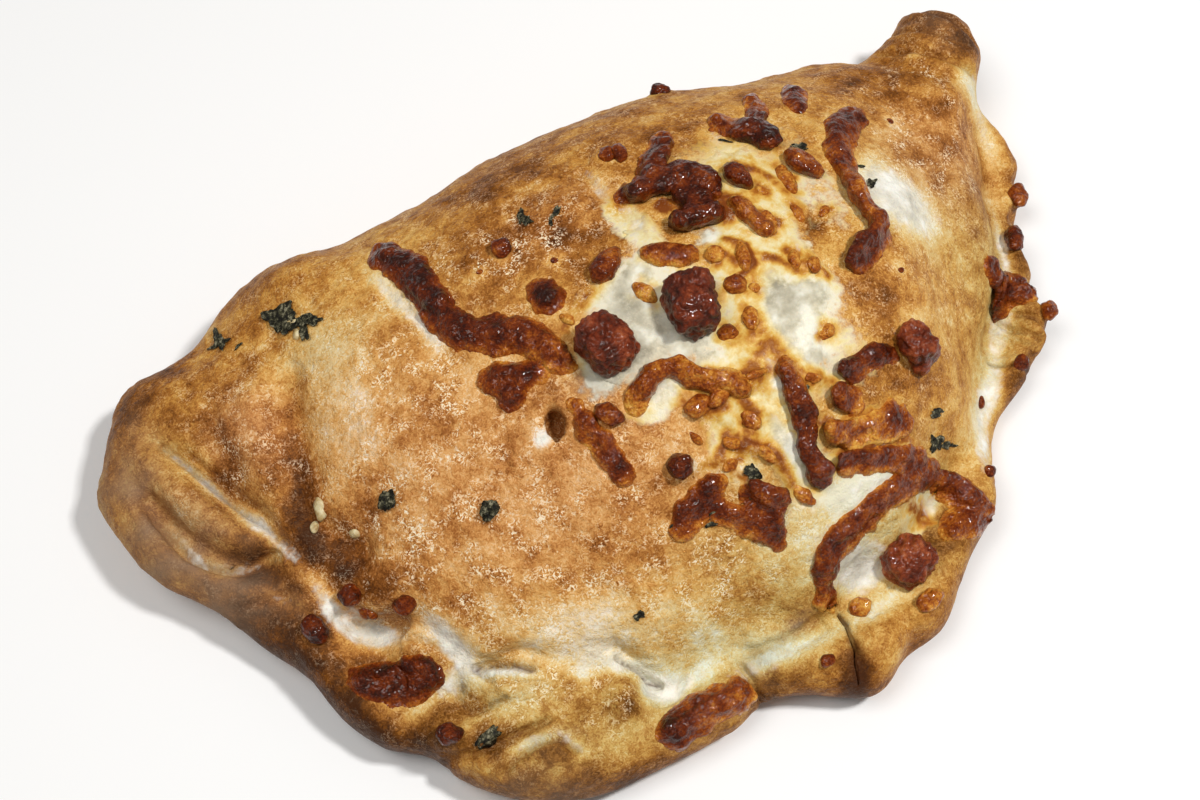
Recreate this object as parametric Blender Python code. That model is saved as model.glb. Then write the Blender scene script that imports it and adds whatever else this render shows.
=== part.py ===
"""A baked panzerotto: a folded half-moon of dough with a pinched rim, ham cubes and browned cheese.

The frame: +X runs along the fold from the left corner to the right one, +Y points from the pinched rim
to the fold, +Z is up. The origin is the middle of the bounding box, on the surface that the food rests on.
Sizes are in millimetres and become metres where the meshes are made.
"""

import math
from collections import namedtuple

import bmesh
import bpy
from mathutils import Matrix, Vector, noise
from mathutils.bvhtree import BVHTree

MM = 0.001

# Driving dimensions of the dough
CREASE_DEPTH = 3.0  # how far the valley behind the rim lies under the rim's top
UNDERCUT = 0.42  # how far the edge tucks in below, as a share of its thickness
SPINE = ((-72, 31), (-40, 18), (2, 6), (44, 4), (76, 26))  # the ridge under which the filling lies: x, y
SPINE_HEIGHT = ((-72, 24), (-48, 35), (-13, 44), (22, 45), (52, 40), (76, 27))  # x, height
FOLD_POWER = 2.4  # of the fold's round profile: 2 would be an ellipse
DOME_POWER = 0.8  # below 1 the dome has fuller shoulders
SEAM = 2.0  # half the width over which the rim runs into the dome
TUCKED_EDGE = ((1.0, -0.1), (0.45, 0.12), (0.1, 0.3))  # share of the undercut, share of the thickness
RINGS, SEGMENTS = 26, 280
LAST_RING = 0.97  # how near the last ring comes to the spine
RING_POWER = 1.5  # above 1 the rings crowd towards the edge
VOXEL = 1.5  # grid of the remesh that makes one skin
UNEVEN, UNEVEN_SPAN = 0.5, 14.0  # height and breadth of the dough's own waviness
SKIN_ROUNDS, CROWN_ROUNDS = 4, 60  # rounds of smoothing
CROWN_STARTS, CROWN_FULL = 20, 34  # heights between which the crown's smoothing sets in
TURNED_DOWN = 0.3  # the relief fades between this rise of the skin's normal and minus this
DOUGH_FACES = 5100

# Toppings
GAP = 0.35  # clear space under what lies on the dough
FELT, SHEET_FELT = 0.9, 1.2  # how far round a point the ground's facets are felt for
BALL_SEGMENTS, BALL_RINGS = 6, 4

# The edge, anticlockwise from the right: where it runs, how thick it is, how wide its pinched rim is,
# and how much of a rim it has, from 0 on the rounded fold to 1 on the pinched seam.
Edge = namedtuple("Edge", "x y thick lip rim")
EDGE = (
    Edge(90, 6, 12, 8, 1.0),
    Edge(94, 12, 12, 7, 1.0),
    Edge(98, 19, 12, 7, 1.0),
    Edge(99, 26, 13, 7, 0.9),
    Edge(97, 32, 18, 8, 0.4),
    Edge(99, 38, 24, 8, 0.1),
    Edge(103, 44, 28, 8, 0.0),
    Edge(104, 51, 28, 8, 0.0),
    Edge(100, 57, 28, 8, 0.0),
    Edge(92, 59, 28, 8, 0.0),
    Edge(86, 56, 28, 8, 0.0),
    Edge(77, 54, 30, 8, 0.0),
    Edge(65, 57, 33, 8, 0.0),
    Edge(50, 58, 35, 8, 0.0),
    Edge(33, 64, 36, 8, 0.0),
    Edge(12, 66, 36, 8, 0.0),
    Edge(-8, 66, 34, 8, 0.0),
    Edge(-28, 63, 32, 8, 0.0),
    Edge(-42, 64, 31, 8, 0.0),
    Edge(-53, 66, 30, 8, 0.0),
    Edge(-65, 64, 28, 8, 0.0),
    Edge(-76, 58, 26, 8, 0.0),
    Edge(-88, 57, 24, 8, 0.0),
    Edge(-95, 53, 22, 9, 0.2),
    Edge(-100, 45, 21, 12, 0.5),
    Edge(-104, 37, 20, 14, 0.7),
    Edge(-102, 27, 19, 15, 0.9),
    Edge(-99, 18, 18, 15, 1.0),
    Edge(-93, 10, 17, 14, 1.0),
    Edge(-90, 4, 16, 13, 1.0),
    Edge(-87, -4, 14, 13, 1.0),
    Edge(-82, -13, 14, 13, 1.0),
    Edge(-80, -23, 14, 15, 1.0),
    Edge(-75, -32, 14, 16, 1.0),
    Edge(-68, -37, 13, 15, 1.0),
    Edge(-65, -44, 14, 16, 1.0),
    Edge(-56, -53, 15, 18, 1.0),
    Edge(-45, -58, 15, 18, 1.0),
    Edge(-33, -59, 14, 17, 1.0),
    Edge(-23, -59, 14, 14, 1.0),
    Edge(-15, -59, 14, 13, 1.0),
    Edge(-9, -57, 13, 12, 1.0),
    Edge(-1, -59, 14, 13, 1.0),
    Edge(5, -63, 14, 14, 1.0),
    Edge(11, -66, 14, 16, 1.0),
    Edge(20, -62, 14, 15, 1.0),
    Edge(28, -61, 14, 15, 1.0),
    Edge(36, -55, 13, 14, 1.0),
    Edge(44, -49, 13, 12, 1.0),
    Edge(51, -45, 14, 11, 1.0),
    Edge(56, -37, 12, 8, 1.0),
    Edge(62, -29, 11, 8, 1.0),
    Edge(72, -24, 11, 10, 1.0),
    Edge(80, -18, 12, 12, 1.0),
    Edge(84, -14, 12, 12, 1.0),
    Edge(81, -10, 11, 10, 1.0),
    Edge(87, -4, 12, 10, 1.0),
    Edge(88, 2, 12, 9, 1.0),
)

# Creases and valleys pressed into the skin: path, half width, depth
Groove = namedtuple("Groove", "path wide deep")
GROOVE_END, GROOVE_RUN = 0.35, 0.25  # share of the depth at the ends, share of the length that fades
GROOVES = (
    # the left corner: the crack beside the inner lobe, and the seam of the outer roll
    Groove(((-90, 41), (-86, 33), (-82, 24), (-78, 16), (-75, 8)), 1.8, 4.0),
    Groove(((-97, 39), (-95, 28), (-91, 18), (-85, 11), (-78, 5)), 2.0, 2.6),
    # the seam between the dome and the rim
    Groove(((-75, 8), (-73, 0), (-72, -7)), 2.2, 2.5),
    Groove(((-72, -8), (-68, -13), (-62, -16)), 2.8, 4.5),
    Groove(((-62, -16), (-58, -22), (-55, -28)), 2.2, 2.5),
    Groove(((-56, -28), (-52, -30), (-47, -31), (-42, -34)), 1.5, 3.5),
    Groove(((-59, -30), (-59, -34), (-54, -36)), 1.2, 1.6),
    Groove(((-66, -39), (-58, -43), (-48, -43), (-39, -42)), 1.6, 1.8),
    Groove(((-58, -48), (-53, -45), (-47, -46), (-44, -50), (-45, -54)), 1.3, 1.5),
    Groove(((-42, -34), (-36, -37), (-30, -38)), 2.5, 1.5),
    Groove(((-31, -37), (-28, -42), (-25, -47)), 1.4, 4.0),
    Groove(((-25, -47), (-20, -48), (-13, -48), (-9, -47)), 2.4, 2.2),
    Groove(((-12, -47), (-10, -52), (-9, -58)), 1.7, 2.2),
    Groove(((-9, -47), (-3, -51), (4, -51), (10, -50)), 1.7, 2.0),
    Groove(((20, -55), (22, -61), (16, -63)), 1.3, 1.5),
    Groove(((12, -53), (20, -53), (28, -54), (36, -50)), 1.8, 1.5),
    Groove(((52, -39), (59, -29), (66, -20), (74, -10), (82, 0), (87, 10), (91, 20), (93, 30)), 2.4, 2.4),
    Groove(((68, -15), (74, -18), (78, -23)), 1.6, 2.0),
    Groove(((76, -11), (81, -15), (84, -20)), 1.2, 1.5),
    Groove(((88, 8), (93, 9), (98, 9)), 1.6, 2.0),
    Groove(((91, 17), (95, 16), (100, 16)), 1.4, 1.6),
    # the right corner: where its twisted end leaves the dome
    Groove(((78, 54), (82, 46), (88, 39), (96, 34)), 3.0, 2.2),
    Groove(((88, 58), (94, 51), (100, 40)), 1.8, 1.2),
    Groove(((97, 60), (99, 52), (105, 44)), 1.5, 1.2),
    # wrinkles and valleys of the dome
    Groove(((-64, 34), (-65, 24), (-68, 12)), 4.5, 1.8),
    Groove(((-82, 46), (-80, 34), (-76, 22)), 4.0, 1.2),
    Groove(((-40, 44), (-37, 32), (-35, 22), (-31, 15)), 2.6, 1.2),
    Groove(((7, 52), (7, 38), (8, 24)), 2.2, 0.8),
    Groove(((68, 12), (62, -2), (54, -16), (48, -30)), 6.0, 1.2),
)

# Swellings and hollows of the skin: centre, half length, half width, turn in degrees, height
Lump = namedtuple("Lump", "x y long wide turn high")
LUMPS = (
    Lump(-84, 21, 11, 4.5, 114, 3.2),
    Lump(-97, 18, 20, 3.5, 112, 2.6),
    Lump(-73, 34, 9, 6, 110, 1.8),
    Lump(-54, 22, 13, 9, 100, 1.2),
    Lump(-52, 56, 8, 6, 0, 2.0),
    Lump(-64, 1, 6, 5, 0, -1.6),
    Lump(-78, -8, 9, 5, 110, 1.4),
    Lump(-51, -34, 6, 2.4, -20, 1.8),
    Lump(-64, -36, 5, 2.5, -30, 1.6),
    Lump(-46, -50, 8, 5, 0, 1.6),
    Lump(-33, -46, 6, 3, 60, 2.4),
    Lump(-22, -49, 5, 3.5, 0, -2.0),
    Lump(0, -55, 8, 3.5, -10, 1.2),
    Lump(15, -58, 6, 4.5, 0, 2.0),
    Lump(18, -46, 6, 3.5, 20, -2.0),
    Lump(38, -41, 4, 3, 0, -1.2),
    Lump(26, -57, 5, 3, 0, 1.2),
    Lump(72, -15, 5, 3, 40, -1.6),
    Lump(80, -16, 4, 3, 40, 1.4),
    Lump(96, 22, 6, 3, 80, 1.2),
    Lump(97, 50, 7, 6, 60, 1.6),
    Lump(59, 12, 7, 5, 100, 0.8),
)

HOLLOWS = (
    Lump(-23, -0.5, 3.4, 2.2, 80, 3.5),  # a burst bubble; the height is its depth
    Lump(39.5, 12.5, 2.4, 1.4, 30, 1.6),
)
CRACK = ((10.5, -51), (10, -56), (9, -62))  # the split across the rim
CRACK_WIDTH, CRACK_DEPTH = 1.0, 5.0
CRACK_END = 0.25  # width at its ends, as a share
CRACK_OVER = 2.0  # how far its cutter stands out of the skin
CRACK_STATIONS = 9

# Beads of browned cheese, named by where they lie: each a path of (x, y, half width) points and its height
Bead = namedtuple("Bead", "path high")
BEAD_LIFT = 0.1  # how much higher each further bead of one piece starts
STATION, STRAND_SEGMENTS = 2.7, 8  # spacing of the cross-sections along a bead, and their corners
END_REACH, END_SIZE = 0.75, 0.5  # its rounded end: reach in half widths, and size
LUMPY, LUMPY_SPAN = 0.22, 2.6  # how uneven a bead is, as a share, and the breadth of its lumps
FLANK = 0.25  # height of its widest line, as a share
BEAD_POWER = 0.8  # below 1 a bead has fuller shoulders
LOOK_AHEAD = 0.05  # step along a path that gives its direction
BROWNED = {
    "cheese_strand_fold": [
        Bead(((-35, 49.8, 2.6), (-33, 44, 3.3), (-31.8, 37, 3.0), (-31.5, 30, 2.7), (-29.5, 23, 3.0),
              (-24.5, 19.8, 3.4), (-20, 15.4, 3.0), (-17.7, 11, 2.6), (-16.8, 7.5, 2.0)), 2.8),
    ],
    "cheese_crumb_left": [
        Bead(((-29.4, 13, 2.2), (-26.4, 10.5, 3.0), (-22, 9, 2.2)), 2.4),
        Bead(((-27, 10, 2.4), (-28, 6.5, 1.8)), 2.2),
    ],
    "cheese_drop": [Bead(((-13.7, 23, 2.5), (-13.2, 20, 2.7)), 2.6)],
    "cheese_crumb_pool": [Bead(((-3, 19.8, 2.2), (-0.5, 21.5, 2.7), (1.4, 22.7, 1.8)), 2.2)],
    "cheese_cluster_top": [
        Bead(((10.5, 33.8, 2.5), (14.5, 33, 2.9), (19.5, 32.8, 3.6), (23.7, 30.6, 3.4),
              (25.3, 27, 2.5)), 3.0),
        Bead(((15.5, 34.8, 2.6), (19, 38.5, 2.5), (23.2, 42.7, 2.0)), 2.6),
        Bead(((20.3, 30, 2.8), (20.6, 27.5, 3.2), (20.6, 25, 3.2)), 2.6),
        Bead(((15, 22.6, 1.9), (19.4, 22.5, 3.0), (22.8, 20.9, 2.0)), 3.0),
    ],
    "cheese_cluster_fold": [
        Bead(((37, 39, 2.8), (40, 37, 3.7), (41.5, 33, 3.3)), 2.8),
        Bead(((35.3, 43.3, 1.5), (36.8, 39, 2.2)), 2.2),
        Bead(((42, 39, 2.2), (44.6, 43, 1.8), (45.8, 46, 1.1)), 2.2),
    ],
    "cheese_flake_fold": [Bead(((52.3, 40, 1.8), (53.7, 42.5, 2.4), (55, 45.4, 1.6)), 2.2)],
    "cheese_flake_crown": [Bead(((43.2, 27.2, 2.1), (44.2, 24.5, 2.6), (45.4, 22, 1.9)), 2.2)],
    "cheese_strand_right": [
        Bead(((63, 33.7, 2.2), (58.5, 31.7, 3.1), (54, 27.2, 2.6), (51.8, 21.7, 2.0), (50.5, 15.7, 2.0),
              (50.2, 10.7, 1.9), (50, 5.7, 2.4), (45, 3.1, 2.5), (40.7, 1, 2.1)), 2.8),
    ],
    "cheese_flake_mid": [Bead(((30.2, 29.3, 1.8), (30.8, 27, 2.3), (31.5, 24.8, 1.5)), 2.2)],
    "cheese_flake_ham": [Bead(((7.2, 19, 1.6), (10.7, 17, 2.4), (13.7, 15.3, 2.0)), 1.6)],
    "cheese_curl_pool": [
        Bead(((27, 21.6, 1.3), (27.6, 19.2, 1.8), (28.2, 16.3, 1.5), (29.3, 13.8, 2.2)), 1.8),
    ],
    "cheese_strand_low": [
        Bead(((-19, -0.3, 1.5), (-18.7, -4.8, 1.8), (-17.4, -9.8, 1.9), (-16.4, -14.3, 1.8)), 2.2),
    ],
    "cheese_arc": [
        Bead(((-9.3, -5.5, 1.5), (-6.5, -3.4, 2.1), (-3, -2.5, 2.2), (0.5, -3.5, 2.1), (2.3, -6.5, 1.9),
              (5.2, -8.8, 1.8), (8, -10.4, 2.0), (9.6, -12.4, 1.5)), 2.0),
    ],
    "cheese_cluster_low": [
        Bead(((-11, -26.5, 1.8), (-7.8, -25.2, 2.7), (-4.3, -24.4, 2.2), (-1.8, -23.1, 1.6)), 2.6),
        Bead(((-4.5, -25.5, 1.8), (-2.2, -28.5, 1.8), (1, -31, 2.2), (4.1, -33, 2.9),
              (4.6, -35.8, 1.6)), 2.4),
        Bead(((2.4, -27.5, 1.9), (5.5, -29.5, 2.2), (6.9, -31.5, 2.2)), 2.0),
    ],
    "cheese_column": [
        Bead(((18.4, -11.5, 1.5), (17.6, -18, 2.8), (16.9, -22.5, 2.4), (15.7, -26.5, 2.0),
              (16, -30.6, 2.5)), 2.4),
    ],
    "cheese_strand_ham": [
        Bead(((28.6, -16.8, 1.8), (32.5, -16.1, 1.7), (36.5, -16.1, 1.7), (39, -16.4, 1.6)), 2.2),
    ],
    "cheese_crumb_right": [Bead(((25.6, -20.6, 2.6), (27.6, -21, 2.5)), 2.2)],
    "cheese_strand_mid": [
        Bead(((21.3, -25.6, 1.9), (25, -26.3, 1.9), (29, -26.6, 2.0), (33, -26.6, 2.5),
              (35.6, -26.2, 2.8)), 2.4),
    ],
    "cheese_fork": [
        Bead(((20.8, -29.8, 1.2), (26.9, -31, 1.6), (33, -32.4, 2.2), (38.4, -34.4, 2.6),
              (42.9, -37.8, 2.7), (45.3, -42, 3.0), (46.3, -45, 3.0)), 2.8),
        Bead(((39, -35.6, 1.8), (31, -36.3, 1.8), (23, -38.2, 1.9), (15, -40.3, 2.0), (10.7, -43.3, 2.2),
              (9.4, -47, 2.1)), 2.8),
        Bead(((38, -45.3, 1.6), (41.5, -44.8, 2.8), (45.5, -45.2, 3.0)), 2.6),
    ],
    "cheese_rim_left": [
        Bead(((-73.7, -19.5, 3.0), (-70, -22.5, 4.1), (-65.5, -24.3, 4.1), (-62.5, -25.3, 2.8)), 3.2),
    ],
    "cheese_rim_front": [
        Bead(((-28.3, -55.3, 2.3), (-24.5, -54.2, 3.0), (-20, -53.9, 3.2), (-16, -54, 3.0),
              (-12.5, -54, 2.4)), 3.0),
    ],
    "cheese_rim_right": [
        Bead(((75, -2.6, 2.3), (77, -5, 3.6), (81, -7.5, 3.2)), 3.0),
        Bead(((73, -9.5, 1.2), (76.5, -7.5, 2.0)), 2.0),
    ],
}

# Cubes of ham: centre, half sizes, turn in degrees, height
Ham = namedtuple("Ham", "x y long wide turn high")
HAM = {
    "ham_left": Ham(-9.2, 5.8, 4.4, 5.2, 10, 5.5),
    "ham_middle": Ham(8.2, 5.2, 4.6, 5.9, -15, 6.2),
    "ham_right": Ham(44.8, -17, 3.1, 3.9, 20, 5.5),
    "ham_front": Ham(27.4, -47.6, 4.6, 4.2, 15, 5.5),
}
LEAF = Ham(-57, 47, 5.5, 3.0, -60, 0.8)
# How a cube and a leaf are lofted, from the middle of the underside: share of the size, share of the height
HAM_STEPS = ((0.3, 0.0), (0.8, 0.0), (1.0, 0.2), (1.0, 0.7), (0.86, 0.95), (0.45, 1.05))
HAM_SEGMENTS = 14
HAM_POWER = 4  # of its squarish outline: 2 would be an ellipse
HAM_ROUGH, HAM_SPREAD = 0.1, 5  # how ragged its sides are, as a share, and how quickly that changes
LEAF_STEPS = ((0.15, 0), (0.6, 0), (1.0, 0.3), (1.0, 0.8), (0.6, 1), (0.15, 1))
LEAF_SEGMENTS = 18
LEAF_NOTCH = 0.72  # reach of the notches between its teeth, as a share
LEAF_WAVE, LEAF_WAVES = 0.5, 1.1  # height of its waves, and how close they lie

# Small pieces that have baked onto the skin: centre, half sizes, turn in degrees, height
CRUMBS_ON_DOUGH = (
    Lump(-16, 35, 1.9, 1.9, 0, 1.3),
    Lump(11.3, 45.5, 1.8, 1.6, 0, 1.2),
    Lump(14.3, 44, 2.0, 1.6, 80, 1.2),
    Lump(-14.3, -5, 2.9, 1.8, -60, 1.3),
    Lump(-7, -18.5, 2.5, 2.4, 0, 1.7),
    Lump(-77.5, -7.5, 3.0, 2.0, 100, 1.6),
    Lump(-69, -5.5, 2.3, 2.0, 0, 1.7),
    Lump(-67.3, -9, 1.9, 1.2, -50, 1.0),
    Lump(-61, -12.8, 2.2, 2.0, 0, 1.7),
    Lump(-64, -37, 2.4, 1.8, -30, 1.3),
    Lump(4, -57, 1.4, 1.2, 0, 0.8),
    Lump(15, -50.7, 2.0, 1.8, 0, 1.2),
    Lump(27, -56, 3.0, 1.8, 10, 1.0),
    Lump(72, -21, 1.9, 1.5, 40, 1.0),
    Lump(86, 3.5, 3.0, 2.0, 70, 1.8),
    Lump(83, -14, 2.2, 1.8, 60, 1.6),
    Lump(93.5, 12.5, 3.0, 2.0, 70, 1.6),
    Lump(52.5, -38.5, 1.4, 1.1, 30, 1.0),
    Lump(60, -24.5, 1.3, 0.7, 60, 0.7),
    Lump(33, 61, 2.2, 1.6, -20, 1.2),
)
FLAKES_ON_DOUGH = (
    Lump(-69.5, 53.5, 1.9, 1.2, 60, 0.5),
    Lump(-9, 40, 1.6, 1.1, 80, 0.5),
    Lump(-56, 4, 1.9, 1.7, 0, 0.6),
    Lump(-40.6, -8, 2.0, 1.8, 20, 0.6),
    Lump(-24.3, -35.3, 1.0, 0.6, -20, 0.4),
    Lump(45, -27, 1.3, 0.7, 0, 0.4),
    Lump(43.5, -31.2, 2.2, 1.0, -15, 0.5),
    Lump(-58.5, -40.5, 2.4, 1.2, 20, 0.7),
    Lump(-67, 11, 2.2, 1.2, 80, 0.9),
    Lump(-69, 9, 1.1, 0.7, 50, 0.6),
    Lump(-63.5, 4.5, 1.2, 1.0, 0, 0.8),
)
CRUMBS_ON_SHEET = (
    Lump(2.5, 12.5, 1.6, 2.8, 25, 1.1),
    Lump(22.2, 10.5, 1.5, 3.2, 10, 1.2),
    Lump(18, 6.2, 2.2, 1.5, 20, 1.2),
    Lump(1, -11, 2.9, 1.8, 10, 1.3),
    Lump(8.3, -17, 1.6, 2.4, 20, 1.2),
    Lump(3.3, -19, 1.2, 1.7, 40, 0.9),
    Lump(39.3, 23, 1.3, 3.5, -5, 1.0),
    Lump(29, -9, 1.8, 1.4, 20, 0.9),
    Lump(12, -1.5, 1.6, 1.5, 0, 1.0),
    Lump(30.5, 5.8, 1.5, 1.2, 40, 0.8),
    Lump(11.5, -31.5, 3.0, 1.3, -60, 1.0),
)

# The melted cheese: how far it reaches from its centre, every 15 degrees anticlockwise from +X
SHEET = 1.3  # its thickness
SHEET_CENTRE = (24, 2)
SHEET_REACH = (
    18, 37, 30, 33, 41, 36, 37, 36, 32, 31, 37, 39, 38, 31, 30, 31, 38, 37, 26, 17, 13, 13, 13, 14,
)
SHEET_SEGMENTS = 40
# From the middle of its underside out and back over the top: share of the reach, share of the thickness
SHEET_STEPS = (
    (0.1, 0), (0.35, 0), (0.6, 0), (0.85, 0), (1.0, 0.25),
    (0.95, 0.7), (0.8, 1.0), (0.55, 1.0), (0.3, 1.0), (0.1, 1.0),
)

# Bare materials
Finish = namedtuple("Finish", "red green blue roughness")
CRUST = Finish(0.62, 0.33, 0.12, 0.55)
BROWN = Finish(0.18, 0.04, 0.015, 0.3)
MELTED = Finish(0.86, 0.72, 0.38, 0.35)
HAM_RED = Finish(0.42, 0.11, 0.06, 0.35)
HERB = Finish(0.05, 0.07, 0.02, 0.6)


def smoothstep(low, high, value):
    t = min(max((value - low) / (high - low), 0.0), 1.0)
    return t * t * (3 - 2 * t)


def mix(a, b, share):
    return a + (b - a) * share


def catmull(p0, p1, p2, p3, t):
    """A point a share t of the way from p1 to p2 on a smooth curve through all four."""
    return tuple(
        0.5 * (2 * b + (c - a) * t + (2 * a - 5 * b + 4 * c - d) * t * t + (3 * b - a - 3 * c + d) * t ** 3)
        for a, b, c, d in zip(p0, p1, p2, p3)
    )


def path_point(path, place):
    """A point on the smooth open curve through a path's points; place counts in points."""
    last = len(path) - 1
    i = min(int(place), last - 1)
    points = [path[min(max(i + k, 0), last)] for k in (-1, 0, 1, 2)]
    return catmull(*points, place - i)


def along(table, x):
    """The value of a table of (x, value) rows at x, on a smooth curve."""
    for i, (low, high) in enumerate(zip(table, table[1:])):
        if x <= high[0] or i == len(table) - 2:
            t = min(max((x - low[0]) / (high[0] - low[0]), 0.0), 1.0)
            return path_point(table, i + t)[1]


def edge_at(share):
    """The edge's values a share of the way round."""
    place = share * len(EDGE)
    i = int(place)
    points = [EDGE[(i + k) % len(EDGE)] for k in (-1, 0, 1, 2)]
    return Edge(*catmull(*points, place - i))


def height_over_inset(edge, inset, reach, crown):
    """Height of the skin at an inset from the edge, on the way to the spine, which is reach away."""
    half = edge.thick / 2
    share = min(inset / reach, 1.0)
    fold = half + (crown - half) * math.sqrt(max(1 - (1 - share) ** FOLD_POWER, 0))
    lip = half + half * math.sqrt(1 - (1 - min(inset / half, 1.0)) ** 2)
    rise = min(max((inset - edge.lip) / max(reach - edge.lip, 1.0), 0.0), 1.0)
    base = edge.thick - CREASE_DEPTH
    dome = base + (crown - base) * (1 - (1 - rise) ** 2) ** DOME_POWER
    seam = mix(lip, dome, smoothstep(edge.lip - SEAM, edge.lip + SEAM, inset))
    return mix(fold, seam, min(max(edge.rim, 0.0), 1.0))


def dough_rings():
    """Every ring of the dough's skin, from the flat underside out over the edge and up to the spine."""
    sides = [edge_at(k / SEGMENTS) for k in range(SEGMENTS)]
    outs = [Vector((e.x, e.y)) for e in sides]
    spine = []
    for e in sides:
        x = min(max(e.x, SPINE[0][0]), SPINE[-1][0])
        spine.append(Vector((x, along(SPINE, x))))
    rings = []
    for tuck, rise in TUCKED_EDGE:
        ring = []
        for e, out, s in zip(sides, outs, spine):
            place = out + (s - out).normalized() * tuck * UNDERCUT * e.thick
            ring.append(Vector((place.x, place.y, rise * e.thick)))
        rings.append(ring)
    for j in range(RINGS):
        share = LAST_RING * (j / (RINGS - 1)) ** RING_POWER
        ring = []
        for e, out, s in zip(sides, outs, spine):
            reach = (s - out).length
            place = out.lerp(s, share)
            height = height_over_inset(e, share * reach, reach, along(SPINE_HEIGHT, s.x))
            ring.append(Vector((place.x, place.y, height)))
        rings.append(ring)
    return rings


def skin_of(rings):
    """A closed mesh through the rings, made by extruding the first one from place to place."""
    bm = bmesh.new()
    loop = bmesh.ops.create_circle(bm, segments=len(rings[0]), radius=MM)["verts"]
    bmesh.ops.contextual_create(bm, geom=bm.edges[:])
    edges = bm.edges[:]
    for ring in rings:
        if ring is not rings[0]:
            made = bmesh.ops.extrude_edge_only(bm, edges=edges)["geom"]
            new = {g for g in made if isinstance(g, bmesh.types.BMVert)}
            edges = [g for g in made if isinstance(g, bmesh.types.BMEdge)]
            loop = [next(e.other_vert(v) for e in v.link_edges if e.other_vert(v) in new) for v in loop]
        for v, place in zip(loop, ring):
            v.co = place * MM
    bmesh.ops.contextual_create(bm, geom=edges)
    bmesh.ops.recalc_face_normals(bm, faces=bm.faces[:])
    bmesh.ops.triangulate(bm, faces=bm.faces[:])
    return bm


def add_object(name, bm):
    mesh = bpy.data.meshes.new(name)
    bm.to_mesh(mesh)
    bm.free()
    obj = bpy.data.objects.new(name, mesh)
    bpy.context.scene.collection.objects.link(obj)
    return obj


def apply_modifiers(obj):
    graph = bpy.context.evaluated_depsgraph_get()
    mesh = bpy.data.meshes.new_from_object(obj.evaluated_get(graph))
    obj.modifiers.clear()
    obj.data = mesh


def distance_to_path(path, point):
    """Distance from a plan point to a path, and how far along the path it lies, from 0 to 1."""
    best, place = math.inf, 0.0
    for i, (a, b) in enumerate(zip(path, path[1:])):
        a, b = Vector(a), Vector(b)
        t = min(max((point - a).dot(b - a) / (b - a).length_squared, 0.0), 1.0)
        gap = (point - a.lerp(b, t)).length
        if gap < best:
            best, place = gap, (i + t) / (len(path) - 1)
    return best, place


def relief(point):
    """How far the skin stands out at a plan point, from the grooves, the lumps and its own waviness."""
    out = UNEVEN * noise.noise(Vector((point.x, point.y, 7.0)) / UNEVEN_SPAN)
    for groove in GROOVES:
        gap, place = distance_to_path(groove.path, point)
        if gap < 3 * groove.wide:
            fade = GROOVE_END + (1 - GROOVE_END) * smoothstep(0, GROOVE_RUN, min(place, 1 - place))
            out -= groove.deep * fade * math.exp(-((gap / groove.wide) ** 2))
    for lump in LUMPS:
        offset = Matrix.Rotation(math.radians(-lump.turn), 2) @ (point - Vector((lump.x, lump.y)))
        out += lump.high * math.exp(-((offset.x / lump.long) ** 2) - (offset.y / lump.wide) ** 2)
    return out


def soften(obj):
    """Smooths the whole skin a little and the dome, where the rings meet, a lot."""
    whole = obj.modifiers.new("whole", "SMOOTH")
    whole.iterations = SKIN_ROUNDS
    dome = obj.vertex_groups.new(name="dome")
    for v in obj.data.vertices:
        dome.add([v.index], smoothstep(CROWN_STARTS, CROWN_FULL, v.co.z / MM), "REPLACE")
    crown = obj.modifiers.new("crown", "SMOOTH")
    crown.vertex_group = dome.name
    crown.iterations = CROWN_ROUNDS
    apply_modifiers(obj)
    obj.vertex_groups.clear()


def press_relief(obj):
    bm = bmesh.new()
    bm.from_mesh(obj.data)
    bm.normal_update()
    moves = []
    for v in bm.verts:
        upward = smoothstep(-TURNED_DOWN, TURNED_DOWN, v.normal.z)
        moves.append(v.normal * (relief(v.co.xy / MM) * upward * MM))
    for v, move in zip(bm.verts, moves):
        v.co += move
    bm.to_mesh(obj.data)
    bm.free()


def flatten_underside(obj):
    """Cuts the skin off at the table and closes it with one flat face."""
    bm = bmesh.new()
    bm.from_mesh(obj.data)
    everything = bm.verts[:] + bm.edges[:] + bm.faces[:]
    made = bmesh.ops.bisect_plane(
        bm, geom=everything, plane_co=(0, 0, 0), plane_no=(0, 0, -1), clear_outer=True
    )
    bmesh.ops.contextual_create(bm, geom=[g for g in made["geom_cut"] if isinstance(g, bmesh.types.BMEdge)])
    bm.to_mesh(obj.data)
    bm.free()


def triangulated(obj):
    bm = bmesh.new()
    bm.from_mesh(obj.data)
    bmesh.ops.triangulate(bm, faces=bm.faces[:])
    bm.to_mesh(obj.data)
    bm.free()


def boolean(obj, operation, tools, solver="EXACT"):
    """Joins the tools to an object or cuts them from it, all at once, and removes them."""
    group = bpy.data.collections.new(operation.lower())
    for tool in tools:
        group.objects.link(tool)
    step = obj.modifiers.new(operation.lower(), "BOOLEAN")
    step.operation = operation
    step.operand_type = "COLLECTION"
    step.collection = group
    step.solver = solver
    apply_modifiers(obj)
    for tool in tools:
        bpy.data.objects.remove(tool)
    bpy.data.collections.remove(group)


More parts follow.
